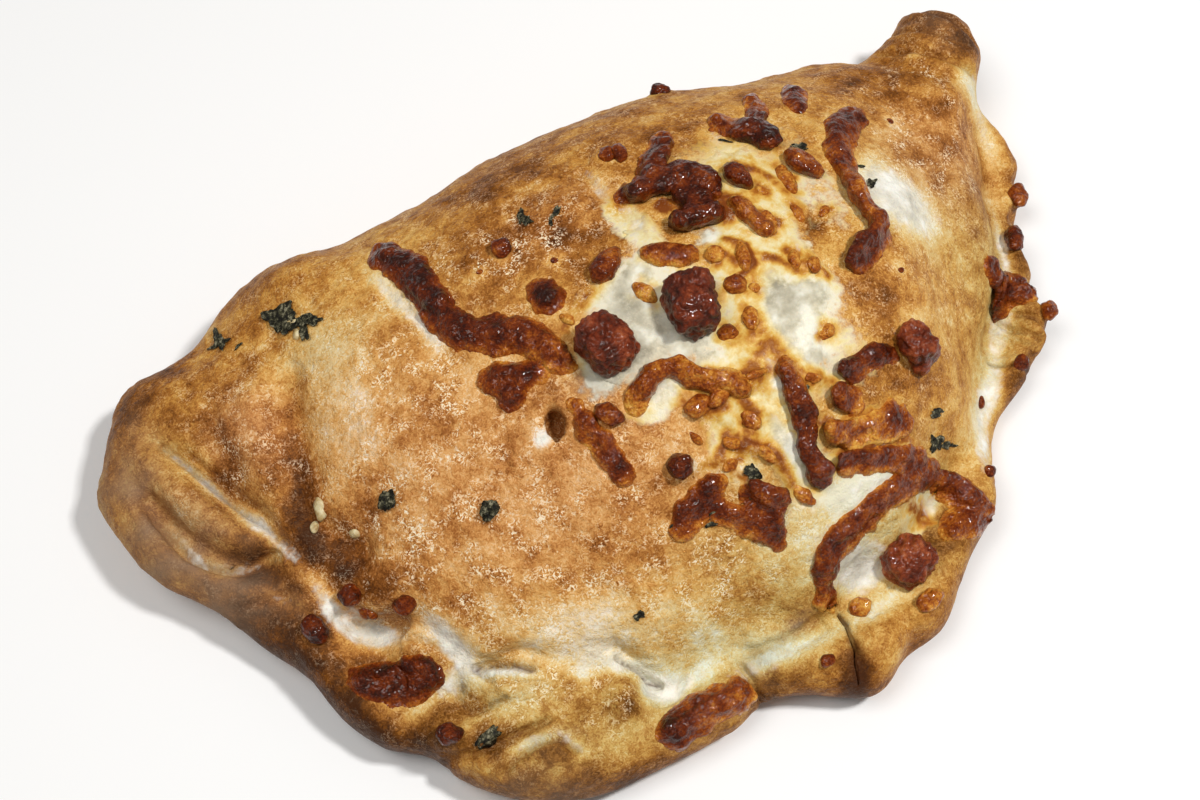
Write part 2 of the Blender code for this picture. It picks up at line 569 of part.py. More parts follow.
class Ground:
    """The upper surface of what is already made, for things to lie on."""

    def __init__(self, objects):
        bm = bmesh.new()
        for obj in objects:
            bm.from_mesh(obj.data)
        self.tree = BVHTree.FromBMesh(bm)
        bm.free()

    def height(self, x, y):
        hit = self.tree.ray_cast(Vector((x, y, 100.0)) * MM, Vector((0, 0, -1)))[0]
        return hit.z / MM if hit else 0.0

    def clear(self, x, y, around=FELT):
        """Height just over the ground, and over its facets close by."""
        steps = (-around, 0, around)
        return max(self.height(x + dx, y + dy) for dx in steps for dy in steps) + GAP


def ball(place, half_size, turn):
    """A coarse ball with the given half sizes, for crumbs and hollows."""
    bm = bmesh.new()
    bmesh.ops.create_uvsphere(bm, u_segments=BALL_SEGMENTS, v_segments=BALL_RINGS, radius=1.0)
    bmesh.ops.scale(bm, vec=half_size, verts=bm.verts[:])
    bmesh.ops.rotate(bm, matrix=Matrix.Rotation(math.radians(turn), 3, "Z"), verts=bm.verts[:])
    bmesh.ops.translate(bm, vec=place, verts=bm.verts[:])
    bmesh.ops.scale(bm, vec=(MM, MM, MM), verts=bm.verts[:])
    return add_object("ball", bm)


def crumb_balls(table, ground):
    """Balls in the ground's surface, for the crumbs that bake onto it and the hollows in it."""
    balls = []
    for s in table:
        place = (s.x, s.y, ground.height(s.x, s.y))
        balls.append(ball(place, (s.long, s.wide, s.high), s.turn))
    return balls


def crack_wedge(ground):
    """The thin wedge that splits the rim."""
    rings = []
    for i in range(CRACK_STATIONS):
        x, y = path_point(CRACK, i * (len(CRACK) - 1) / (CRACK_STATIONS - 1))
        top = ground.height(x, y) + CRACK_OVER
        low = top - CRACK_DEPTH - CRACK_OVER
        bulge = math.sin(math.pi * (i + 1) / (CRACK_STATIONS + 1))
        half = CRACK_WIDTH * mix(CRACK_END, 1, bulge) / 2
        rings.append([Vector((x - half, y, top)), Vector((x + half, y, top)), Vector((x, y, low))])
    return add_object("crack", skin_of(rings))


def make_dough():
    obj = add_object("dough", skin_of(dough_rings()))
    remesh = obj.modifiers.new("one_skin", "REMESH")
    remesh.mode = "VOXEL"
    remesh.voxel_size = VOXEL * MM
    apply_modifiers(obj)
    soften(obj)
    press_relief(obj)
    thin = obj.modifiers.new("fewer_faces", "DECIMATE")
    thin.ratio = DOUGH_FACES / (2 * len(obj.data.polygons))
    apply_modifiers(obj)
    flatten_underside(obj)
    ground = Ground([obj])
    boolean(obj, "DIFFERENCE", crumb_balls(HOLLOWS, ground) + [crack_wedge(ground)])
    boolean(obj, "UNION", crumb_balls(CRUMBS_ON_DOUGH + FLAKES_ON_DOUGH, ground))
    triangulated(obj)
    return obj


def make_melted_cheese(ground):
    """A thin uneven sheet, lofted from the middle of its underside out to its rim and back over the top."""
    rings = []
    for share, level in SHEET_STEPS:
        ring = []
        for k in range(SHEET_SEGMENTS):
            turn = math.tau * k / SHEET_SEGMENTS
            i, t = divmod(k * len(SHEET_REACH) / SHEET_SEGMENTS, 1)
            reaches = [(SHEET_REACH[(int(i) + n) % len(SHEET_REACH)],) for n in (-1, 0, 1, 2)]
            reach = catmull(*reaches, t)[0] * share
            x, y = SHEET_CENTRE[0] + reach * math.cos(turn), SHEET_CENTRE[1] + reach * math.sin(turn)
            ring.append(Vector((x, y, ground.clear(x, y, SHEET_FELT) + level * SHEET)))
        rings.append(ring)
    return add_object("melted_cheese", skin_of(rings))


def strand(path, high, lift, ground):
    """A bead of cheese along a path of (x, y, half width) points, round on top and following the ground."""
    length = sum(math.dist(a[:2], b[:2]) for a, b in zip(path, path[1:]))
    count = max(3, round(length / STATION))
    rings = []
    for i in range(-1, count + 2):
        place = min(max(i, 0), count) / count * (len(path) - 1)
        x, y, half = path_point(path, place)
        ahead = path_point(path, min(place + LOOK_AHEAD, len(path) - 1))
        behind = path_point(path, max(place - LOOK_AHEAD, 0))
        way = Vector((ahead[0] - behind[0], ahead[1] - behind[1])).normalized()
        side = Vector((-way.y, way.x))
        size = 1.0
        if i in (-1, count + 1):
            end = way * half * (END_REACH if i > 0 else -END_REACH)
            x, y, size = x + end.x, y + end.y, END_SIZE
        lumpy = 1 + LUMPY * noise.noise(Vector((x, y, 3.0)) / LUMPY_SPAN)
        ring = []
        for k in range(STRAND_SEGMENTS):
            turn = math.tau * k / STRAND_SEGMENTS
            across, up = math.cos(turn), math.sin(turn)
            px = x + side.x * across * half * size * lumpy
            py = y + side.y * across * half * size * lumpy
            rise = FLANK if abs(up) < 0.1 else max(up, 0.0) ** BEAD_POWER * lumpy
            ring.append(Vector((px, py, ground.clear(px, py) + lift + rise * high * size)))
        rings.append(ring)
    return add_object("strand", skin_of(rings))


def make_browned_cheese(name, beads, ground):
    parts = [strand(bead.path, bead.high, i * BEAD_LIFT, ground) for i, bead in enumerate(beads)]
    obj = parts[0]
    if len(parts) > 1:
        boolean(obj, "UNION", parts[1:], "MANIFOLD")
    obj.name = obj.data.name = name
    return obj


def make_ham(name, ham, ground):
    """A cube of ham with soft corners, lofted from the middle of its underside up to its top."""
    top = ground.clear(ham.x, ham.y) + ham.high
    rings = []
    for share, level in HAM_STEPS:
        ring = []
        for k in range(HAM_SEGMENTS):
            turn = math.tau * k / HAM_SEGMENTS
            c, s = math.cos(turn), math.sin(turn)
            square = (abs(c) ** HAM_POWER + abs(s) ** HAM_POWER) ** (-1 / HAM_POWER)
            rough = 1 + HAM_ROUGH * noise.noise(Vector((HAM_SPREAD * c + ham.x, HAM_SPREAD * s, 3 * level)))
            offset = Vector((c * ham.long, s * ham.wide)) * square * share * rough
            offset = Matrix.Rotation(math.radians(ham.turn), 2) @ offset
            x, y = ham.x + offset.x, ham.y + offset.y
            ring.append(Vector((x, y, mix(ground.clear(x, y), top, level))))
        rings.append(ring)
    return add_object(name, skin_of(rings))


def make_leaf(ground):
    """A dried herb leaf: a thin wavy blade with a toothed edge."""
    rings = []
    for share, level in LEAF_STEPS:
        ring = []
        for k in range(LEAF_SEGMENTS):
            turn = math.tau * k / LEAF_SEGMENTS
            tooth = 1.0 if k % 2 else LEAF_NOTCH
            offset = Vector((math.cos(turn) * LEAF.long, math.sin(turn) * LEAF.wide)) * share * tooth
            offset = Matrix.Rotation(math.radians(LEAF.turn), 2) @ offset
            x, y = LEAF.x + offset.x, LEAF.y + offset.y
            wave = LEAF_WAVE * (1 + math.sin(x * LEAF_WAVES))
            ring.append(Vector((x, y, ground.clear(x, y) + wave + level * LEAF.high)))
        rings.append(ring)
    return add_object("herb_leaf", skin_of(rings))


def paint(obj, finish):
    material = bpy.data.materials.new(obj.name)
    material.use_nodes = True
    shader = material.node_tree.nodes["Principled BSDF"]
    shader.inputs["Base Color"].default_value = (finish.red, finish.green, finish.blue, 1)
    shader.inputs["Roughness"].default_value = finish.roughness
    obj.data.materials.clear()
    obj.data.materials.append(material)
    for face in obj.data.polygons:
        face.use_smooth = True


def main():
    for obj in list(bpy.data.objects):
        bpy.data.objects.remove(obj)
    dough = make_dough()
    paint(dough, CRUST)
    bare = Ground([dough])
    sheet = make_melted_cheese(bare)
    covered = Ground([dough, sheet])
    boolean(sheet, "UNION", crumb_balls(CRUMBS_ON_SHEET, covered))
    triangulated(sheet)
    paint(sheet, MELTED)
    for name, beads in BROWNED.items():
        paint(make_browned_cheese(name, beads, covered), BROWN)
    for name, ham in HAM.items():
        paint(make_ham(name, ham, covered), HAM_RED)
    paint(make_leaf(covered), HERB)


main()
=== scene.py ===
"""The looks of a baked panzerotto: its crust, melted and browned cheese, ham, herbs and garlic.

Laid out as an add-on and run as a script. Lengths in the tables are millimetres, in the frame of the
solids: +X runs along the fold to the twisted corner, +Y from the pinched rim to the fold, +Z is up.
"""

import math
from collections import namedtuple

import bmesh
import bpy
import numpy as np
from bpy.props import FloatProperty, FloatVectorProperty, PointerProperty
from mathutils import Matrix, Vector, kdtree, noise
from mathutils.bvhtree import BVHTree


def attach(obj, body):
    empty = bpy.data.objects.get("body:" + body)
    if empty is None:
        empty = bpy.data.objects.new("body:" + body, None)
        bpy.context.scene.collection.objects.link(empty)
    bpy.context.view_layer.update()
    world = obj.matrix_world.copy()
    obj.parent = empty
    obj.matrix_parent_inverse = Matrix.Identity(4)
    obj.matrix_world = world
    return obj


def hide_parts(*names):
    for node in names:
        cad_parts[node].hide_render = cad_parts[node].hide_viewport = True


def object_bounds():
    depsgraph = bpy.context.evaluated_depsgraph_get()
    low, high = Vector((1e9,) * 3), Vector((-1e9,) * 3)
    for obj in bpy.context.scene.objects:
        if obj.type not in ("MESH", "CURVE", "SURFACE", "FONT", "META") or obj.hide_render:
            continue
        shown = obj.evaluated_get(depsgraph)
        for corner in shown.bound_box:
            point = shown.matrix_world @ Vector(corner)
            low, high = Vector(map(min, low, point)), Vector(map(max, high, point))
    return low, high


bl_info = {
    "name": "Panzerotto",
    "version": (1, 0, 0),
    "blender": (4, 5, 0),
    "location": "3D View > Sidebar > Panzerotto",
    "description": "Dresses the solids of a baked panzerotto",
    "category": "Object",
}

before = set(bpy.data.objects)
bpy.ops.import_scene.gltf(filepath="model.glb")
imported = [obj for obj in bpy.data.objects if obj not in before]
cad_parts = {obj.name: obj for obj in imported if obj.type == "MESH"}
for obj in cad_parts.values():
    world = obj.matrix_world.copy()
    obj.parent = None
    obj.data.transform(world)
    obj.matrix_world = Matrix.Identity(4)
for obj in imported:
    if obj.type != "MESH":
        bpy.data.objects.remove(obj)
CAD_LOW, CAD_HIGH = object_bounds()
MM = 0.001
UP, DOWN = Vector((0, 0, 1)), Vector((0, 0, -1))
ABOVE = 200  # millimetres, clear of every piece


def rows(kind, *table):
    """A table's rows, with the names of its columns."""
    return tuple(kind(*row) for row in table)


# fmt: off
# Marks of the oven on the surface: centre, half length, half width, amount in percent, turn in degrees
Patch = namedtuple("Patch", "x y long wide percent turn", defaults=(0,))

# How brown the crust is: 0 is raw, 1 nearly burnt. The patches are added to it; a few, along the valley of
# the left corner, are painted shade
PLAIN_BROWN = 0.5
BROWNING_AND_SHADE = rows(
    Patch,
    # along the fold
    (20, 60, 75, 8, 5), (-10, 54, 13, 7, 9), (-22, 43, 8, 6, 8), (-5, 37, 12, 6, 6), (14, 57, 12, 6, 5),
    (-58, 61, 12, 4, 12), (-86, 54, 9, 4, 22, 20), (-80, 46, 16, 7, 10, 10), (-46, 50, 8, 9, -3),
    (-52, 34, 12, 9, -7), (-64, 38, 7, 4, -12), (60, 47, 22, 5, 6),
    # the left corner
    (-98, 28, 20, 5, 5, 108), (-94, 46, 7, 5, 12, 60), (-93, 15, 8, 4, 2, 120), (-82, 38, 5, 3, 10, 100),
    # (-70.5, 12), (-66.7, 23.6) and (-70, 13) darken the valley beside the hump, where shade falls: painted
    # shade
    (-60, -10, 7, 4, 10, -40), (-68, 1.8, 5.5, 4, 32, -50), (-70.5, 12, 9, 4, 14, 68), (-72.5, 31, 6, 7, 8),
    (-77, -3, 5, 3, 34, -60), (-67, -7, 5, 3, 18, -50), (-63, 4, 5, 4, 10), (-73, 8, 5, 3, 20, 60),
    (-78, 25, 3, 6, 8, 20), (-84, -4, 6, 4, 12, -60), (-73.5, -19, 5, 5, 34), (-46.4, -46.4, 5, 3, 8),
    (-58, 10, 6, 4, 10, -50), (-100, 28, 5, 14, 5), (-66, -4, 7, 4, 18, -50), (-66.7, 23.6, 7, 1.7, 18, 64),
    (-70, 13, 8, 3.2, 20, 66), (-74, 17, 4, 4, 12), (-79, 31.6, 9, 2.2, 12, 76),
    (-77, 18.5, 5, 1.8, -12, -62), (-88.3, 28.4, 4, 2, 16, -62), (-82.3, 13, 4, 2.4, 22, -60),
    (-94.3, 29.8, 7, 2.6, 12, -80), (-93, 13.5, 6, 2.6, -4, -42), (-82, 7.3, 4.4, 2.2, 16, -20),
    (-86.5, -1, 7, 4, 16, -60), (-80, 12, 14, 6, 7, -55), (-96, 14, 11, 6, 7, -45),
    # the rim, from the left corner round the front
    (-86, -2, 10, 5, 10, 112), (-80, -18, 10, 5, 10, 112), (-75, -31, 8, 5, 14, 120),
    (-22, -38, 22, 5, -15, -25), (24, -36, 11, 3.2, -26), (-84, -10, 18, 4, 26, 112),
    (-79, -26, 8, 5, 20, 120), (-72, -35, 9, 5, 24, 140), (-66, -38, 5, 3, 16, 150), (-58, -41, 6, 2.4, 20),
    (-60, -52, 12, 4, 18, 145), (-42, -57, 16, 3, 20), (-31.8, -45.8, 4.8, 2.4, 32, 68),
    (-39.5, -42, 5, 4, 12), (-39, -53, 7, 4, 10), (-52, -49.5, 5.5, 2.6, 16), (-63.4, -33.5, 5, 3, 14, 130),
    (-64, -41.5, 4, 1.8, -14, 140), (-37, -33.5, 8, 3.4, -10, -20), (-51, -31, 9, 6, -6),
    (-14, -53, 4, 4, 12), (-4, -56, 7, 2.6, 16, -20), (8, -61, 3.6, 5, 42, -20), (18, -59, 8, 3, 14, 15),
    (30, -56, 8, 2.5, 8, 25), (-8, -45, 22, 5, -10), (-33, -33, 7, 5, -14), (-42, -30, 9, 4, -8, -20),
    (12, -52, 16, 2.6, -14),
    # the dome's front and right
    (-16, 33, 12, 9, 10, 30), (-4, 26, 9, 6, 15), (-3, 38, 6, 5, 8), (26, 43, 9, 5, 14), (7, 29, 3, 6, 12),
    (40, 13, 4, 5, 8), (-22, -24, 7, 5, 7), (7, -47, 7, 3, 10), (32, -39, 6, 4, -10), (15, 44, 14, 5, 10),
    (80, 36, 12, 6, 10), (43, -6, 6, 5, 10), (36, -19, 9, 4, 18), (38, -13, 5, 3, 16), (-19, 2, 5, 4, 5),
    (-4, -41, 10, 4, 6, -10), (-19, -47, 7, 3, -12), (-31, -41, 7, 4, -5), (12, -39, 8, 3, -10),
    (27, -34, 10, 2.4, -20), (-48, 12, 18, 12, -7), (-30, -18, 16, 15, -6), (-6, -30, 14, 7, -5),
    (39, -5, 8, 7, 8), (38.3, 10.8, 2.2, 1.6, 18), (37, -45, 5, 3.4, 30), (-4.4, 33, 4, 3, 18),
    (-56.7, 22, 6, 8, -20), (-91.2, 27.7, 5, 3, -18, -75), (89, 13.5, 3, 5, -18, 80), (83, 0, 3, 3, 14),
    (80.5, -10.4, 3, 3, 22), (-24.5, 8, 5, 4, 16), (25, -33, 9, 3, -14), (-49, -28, 4, 2, 6),
    (-60, 30, 2, 9, 6, 20), (-82, 6.8, 4, 2.4, 30, -30), (-85, 12, 3, 2, 12, -40), (-76, -9.5, 4, 2.5, 12),
    (12, -50, 7, 4, 7), (-0.5, -49.5, 6, 2.4, 4), (-66, 28, 5, 6, 13), (-78, 35, 4, 4, 10),
    (-8, 52, 9, 4, 14), (-22, 50, 6, 4, -8), (74, 23, 6, 5, 10), (93, 41, 5, 4, 12),
    (77, -16, 4, 3, -22, 40), (-52, 36, 6, 5, -12), (-44, 13, 6, 5, 13), (-19, -25, 7, 5, 12),
    (-34, -54, 8, 3, -20), (-57, -44, 5, 3, 9), (-58, -37, 4, 2.6, -16), (-49, -38, 7, 3, -12),
    (-15, -43, 5, 3, -10), (18, -58, 6, 3, -12), (11, -59, 2.4, 3, -10), (-60, -27, 5, 9, 10, 20),
    (-72, -9, 5, 4, 12), (27, -34.4, 8, 2.2, -25), (24, -20, 3, 4, -10), (-23.2, -1, 2.6, 1.6, 16, 75),
    (77, 1, 8, 8, -7), (76, 17, 9, 11, 9), (71, 27, 5, 4, -16), (75, 43, 11, 6, 16), (83, 29, 5, 5, 7),
    (84, 8, 8, 5, 4, 100), (58, -26, 14, 4, -14, 50),
    # the twisted corner
    (90, 52, 9, 5, 15), (100, 50, 5, 6, 20), (98, 43, 4, 3.5, 22), (93, 36, 5, 4, -18),
    # the right rim
    (92, 16, 3, 5, 16, 80), (87, 3, 3, 4, 24, 70), (80, -16, 4, 3, 20, 40), (71, -22, 5, 2.2, 28, 30),
    (54, -38, 4, 2, 20, 40),
)

# Dough that the heat has hardly reached, white to grey
RAW = rows(
    Patch,
    (-37, 38, 9, 1.7, 75, 100), (-34.5, 27, 5, 1.4, 65, 95), (-25, 13.5, 4.5, 1.8, 45, -35),
    (-87, 35.5, 5, 0.9, 60, 117), (-83, 26.5, 5, 1, 75, 115), (-78.5, 16, 5, 1.5, 85, 113),
    (27, -34.6, 11, 1.9, 50, -4), (11, -38.6, 6, 2.2, 45), (4, -26, 2.4, 3, 50), (-19, -47.5, 5, 1.6, 60),
    (-75.6, 8, 3.4, 1.8, 60, 108), (-92.4, 19.5, 5, 1.3, 55, -76), (-88.4, 13.2, 4.5, 1.3, 60, -42),
    (-83.5, 10.6, 3.2, 1.1, 60, -12), (-80.4, 0.9, 4.5, 1.4, 40, -60), (-73.4, -4, 6, 2, 75, 100),
    (-68.5, -11.5, 6, 3, 95, 130), (-56.4, -22.5, 7, 1.9, 95, 108), (-49.8, -31.6, 5.5, 1.2, 80, -30),
    (-58.5, -28.8, 3, 2.6, 60), (-64, -29, 6, 1.3, 45, 10), (-37.1, -37.4, 1.5, 1.2, 60),
    (-51, -45.2, 5, 1.2, 70, -8), (-44.8, -49.2, 3.4, 1.2, 60, -72), (-30.6, -39.6, 2.4, 1.8, 80, -60),
    (-26.9, -41.8, 3.4, 1.1, 70, -58), (-25.6, -46.6, 4.4, 2.8, 100, -30), (-26.3, -2.2, 1.9, 1.7, 100, 30),
    (-5, -51.5, 9, 2.4, 65, -5), (18, -52.5, 7, 1.4, 55, 5), (16, -62, 4, 1.2, 40),
    (18, -44.5, 6.5, 4.2, 100), (37.5, -39.5, 2.6, 2, 75, 10), (20, -34, 14, 2.2, 40, -6),
    (6, -34, 8, 3, 30, 15), (58.5, 12.3, 7.4, 9.4, 100, 35), (33, 38, 2.2, 5, 55, 15), (7, 39, 1.6, 6, 60),
    (46, -12, 14, 1.8, 35, 5), (55, -33, 8, 2.2, 75, 62), (63, -23, 7, 2.6, 80, 45),
    (72, -13, 7, 2.4, 75, 50), (83, 3, 9, 1.6, 75, 68), (93, 27, 10, 2, 60, 84), (95, 37, 4, 2.4, 50, 20),
)

# Where cheese has melted into the surface
CHEESE = rows(
    Patch,
    (24.5, 4, 10.5, 14, 100, 20), (6, 2, 6.5, 5.5, 95), (31, 22, 10, 12, 75), (2, 13, 10, 8, 100),
    (-7, 5, 8, 6, 100), (8, 27, 4, 9, 80), (12, -12, 12, 11, 90), (-5, -6, 6, 3.5, 80), (14, -25, 6, 9, 80),
    (44, 17, 5, 9, 50), (40, 34, 8, 9, 35), (26, 33, 10, 8, 50), (28, -14, 9, 6, 50),
    (28, -29.5, 9, 2.2, 100), (34, -40, 5, 3, 70, 20), (2, -21, 6, 4, 60),
)
# Where it has stayed white
WHITE_CHEESE = rows(
    Patch,
    (24.5, -2.5, 4.6, 7.5, 100), (31, -1.5, 3, 3.5, 70), (18.5, 18, 3, 2.4, 80), (17, -14.5, 2, 6, 90, 15),
    (0, 12, 5, 6, 85), (6, 2.5, 5, 4.5, 60), (-3, 2, 5, 5, 80), (-12.5, 1, 5, 3, 75),
    (-9, 17, 3.2, 4, 35, 30), (3, 17, 5, 3, 60, 10), (12.5, -24, 2, 6, 80, 8), (-4, -6.5, 3.4, 2, 50),
    (6, -3, 5, 3, 60), (9, 27, 3, 6, 50), (43, 20, 3, 6, 50), (35, 9, 3, 4, 35, 60), (25, -12, 4, 4, 70),
)
# Where cheese or dough looks grey and glassy, and, in the thin patches along the creases, grey painted shade
GLASSY_AND_CREASE_SHADE = rows(
    Patch,
    (26, -1, 2.2, 3.5, 50, -10), (-82, 25, 14, 0.8, 60, 115), (24, 2, 2.2, 3.5, 50, -10),
    (-2.5, 11, 4.5, 3, 75, 20), (2, 5, 3, 4, 60), (-12, 3, 5, 3.6, 90, -20), (12, -23, 1.6, 4, 40),
    (19, -44, 4, 3, 45), (-67, -12, 6, 2, 70, 145), (-7.5, -49.5, 3, 4, 60), (0, -49, 6, 2, 70, 10),
    (-49, -46, 6, 2, 40, 170), (-58, -28.5, 3, 2.5, 50), (-27, -41.6, 3, 1.2, 20, -58),
    (-92.2, 19, 5, 1.6, 40, -76), (-88, 12.8, 4, 1.4, 40, -42),
)
# Where the cheese's oil stands yellow and orange
OILY = rows(
    Patch,
    (15, 34, 6, 5, 100), (17, 26, 8, 4, 130), (29, 31, 3, 8, 90, 15), (34, 25, 2.4, 8, 80, 10),
    (27, 1, 2.5, 6, 50, 20), (28, -30, 9, 2.4, 120), (33, -40, 5, 2.5, 100, 20), (26, 41, 7, 6, 110),
    (37, 36, 6, 7, 60), (8, 30, 3, 6, 80), (-1, -13, 7, 4, 70), (29, 12, 6, 7, 45, 20), (25, 7, 7, 5, 45),
    (18, -8, 5, 6, 100, 30), (10, -12, 7, 4, 80, -30), (13, -18, 8, 5, 70), (31, 26, 8, 6, 60),
    (-5, 18, 4, 2, 70, 45), (-14, 13, 2, 5, 70, 20), (26, 17, 4, 6, 60), (5, -22, 5, 4, 60),
    (17, 12, 5, 3, 60), (20, -25, 3, 6, 50), (41, 30, 6, 7, 40),
)

# Where flour and ash grey the crust, where it is pinker or more olive, and where the oil's glints are painted
# on most, as painted highlights
GREY = rows(
    Patch,
    (-98, 26, 19, 6, 85, 106), (-93.5, 11.5, 13, 6, 100, -45), (-97, 40, 5, 5, 50),
    (-94.5, 28, 8, 3, 50, -80), (-92, 40, 9, 4, 40, 80), (-80.5, 0.8, 6, 2.4, 40, -60),
    (-85, 18, 9, 5, 30, -60), (-52, -53, 10, 3, 40, 150), (96, 51, 5, 7, 35), (-72, 31, 6, 8, 10),
)
PINK = rows(
    Patch,
    (-48, 5, 26, 26, 75), (-20, -12, 22, 17, 75), (-4, 36, 13, 7, 60), (-73, 31, 7, 8, 100),
    (-90, 24, 4, 9, 60, 20), (75, 22, 12, 13, 70), (45, -5, 14, 7, 20),
)
OLIVE = rows(
    Patch,
    (-56, -35, 13, 9, 80, -30), (33, -41, 13, 9, 85), (4, -44, 10, 5, 40), (3, -32, 14, 7, 45),
    (78, 0, 10, 16, 80, -20), (64, 14, 12, 15, 35), (-86, 22, 9, 16, 40, 20), (-36, -48, 25, 8, 90),
    (-4, -50, 20, 6.5, 85), (68, -18, 8, 5, 60, 45), (96, 36, 5, 6, 40), (-52, 36, 9, 6, 40),
)
PAINTED_GLINT_PATCHES = rows(
    Patch,
    (-45, -8, 20, 16, 60), (-44, 20, 7, 8, 100), (-11, 35, 14, 7, 90), (-73, 31, 6, 7, 80),
    (-8, -36, 9, 5, 100), (-30, -25, 16, 10, 60), (-55, -5, 6, 8, 90), (71, 22, 8, 9, 80),
    (80, 38, 8, 8, 50), (-47, -37, 8, 4, 80), (-35, -45, 6, 4, 60),
)

# Fine creases of the rim and the corners: path, half width, depth, how much painted shade darkens its line
Crease = namedtuple("Crease", "path wide deep dark", defaults=(0,))
CREASES = rows(
    Crease,
    (((-88.7, 38.7), (-85.5, 32.3), (-82, 24.9), (-79.5, 18.9), (-77.1, 14), (-75.4, 9.6)), 0.7, 1, 0.6),
    (((-95, 27), (-93.6, 21), (-92, 16.5), (-88.8, 12.6), (-84.1, 10.2), (-78, 8.6)), 0.8, 0.7, 0.4),
    (((-89, 4), (-85, 3.4), (-81, 2.6), (-77, 1)), 0.8, 0.6, 0.25),
    (((-72.5, -7), (-70, -9), (-66, -11.5), (-62.5, -14.5)), 0.9, 0.9, 0.25),
    (((-63, -17), (-60, -20), (-57.5, -24)), 0.6, 0.7, 0.35),
    (((-54.4, -28.2), (-51.8, -28.9), (-48.5, -30.7), (-45.4, -33.5)), 0.8, 1.5, 0.85),
    (((-54.6, -28.2), (-54, -30), (-53.1, -31.8)), 0.6, 0.8, 0.5),
    (((-58.1, -29.9), (-59.6, -32), (-58.6, -34.6), (-56, -35.6), (-52, -35.8)), 0.6, 0.7, 0.5),
    (((-58, -47.5), (-54.6, -46.2), (-51, -45.9), (-47, -47.2), (-45, -50.5)), 0.7, 0.9, 0.45),
    (((-66, -39.5), (-61, -42), (-54, -42), (-47, -43)), 0.8, 0.9, 0.4),
    (((-30.2, -38.2), (-28.6, -40.5), (-27, -43.2), (-25.2, -45.8)), 0.55, 1.1, 0.8),
    (((-28, -49), (-24, -49.5), (-20.5, -47)), 0.6, 0.8, 0.2),
    (((-10, -50), (-9.5, -53), (-9, -57)), 0.7, 1.2, 0.3),
    (((7, -49), (3, -49.5), (-3, -49), (-8, -48)), 0.7, 0.8, 0.1),
    (((73, -10), (75, -14), (78, -18)), 0.6, 0.9, 0.4),
    (((77, -11), (79.5, -14), (81, -18)), 0.6, 0.8, 0.5),
    (((67, -17), (70, -20), (73, -22)), 0.7, 0.7, 0.5),
    (((82, 52), (87, 47), (92, 41), (96, 38)), 0.8, 0.8, 0.35),
    (((87, 56), (92, 50), (97, 43)), 0.8, 0.7, 0.3), (((94, 58), (97, 51), (101, 44)), 0.7, 0.9, 0.5),
    (((6, 44), (6.5, 40), (6.3, 35)), 0.7, 0.5, 0.2), (((-36.5, 36), (-36, 33), (-35, 30)), 0.6, 0.5, 0.2),
)
# Broad folds of the dough: path, half width, and depth, which is less than 0 for a swell
FOLDS = rows(
    Crease,
    (((-61, 37), (-65, 27), (-68.4, 20), (-70, 13), (-68, 6), (-64, 0)), 2.8, 1.5),
    (((-95, 30), (-93.6, 22), (-92, 16.8), (-88.8, 13), (-84.1, 10.6), (-78.5, 9)), 2, 1.9),
    (((-68.5, 37), (-71.5, 30), (-73, 23)), 4.6, -1.6), (((-77.5, 39), (-79.4, 32), (-77.5, 25)), 2.2, 0.8),
    (((-89, 29), (-86.4, 21.6), (-82.5, 14)), 2.6, -1.1),
    (((-97, 32), (-97, 24), (-95, 17), (-91, 11)), 2.6, -0.8), (((-85, 7), (-80, 5)), 3, -0.8),
    (((-73, -8), (-69, -12), (-64.5, -14.5)), 1.9, 1.3),
    (((-58.5, -25), (-58.6, -30), (-61.5, -35)), 1.6, 0.8),
    (((-55, -38), (-48, -40), (-42, -38)), 3.5, -0.7), (((-27, -46), (-26, -49)), 2.2, 1),
    (((-33, -44), (-34, -49)), 2.6, -0.8), (((-8, -47), (-7, -52), (-7, -56)), 1.8, 0.8),
    (((-48, -44), (-48, -49)), 3, -0.7), (((-38, 40), (-28, 26), (-22, 17), (-14, 13)), 2.4, 0.5),
    (((92, 58), (97, 50), (98, 42)), 2.4, -0.7), (((84, 50), (90, 44), (94, 38)), 2.4, 0.8),
)
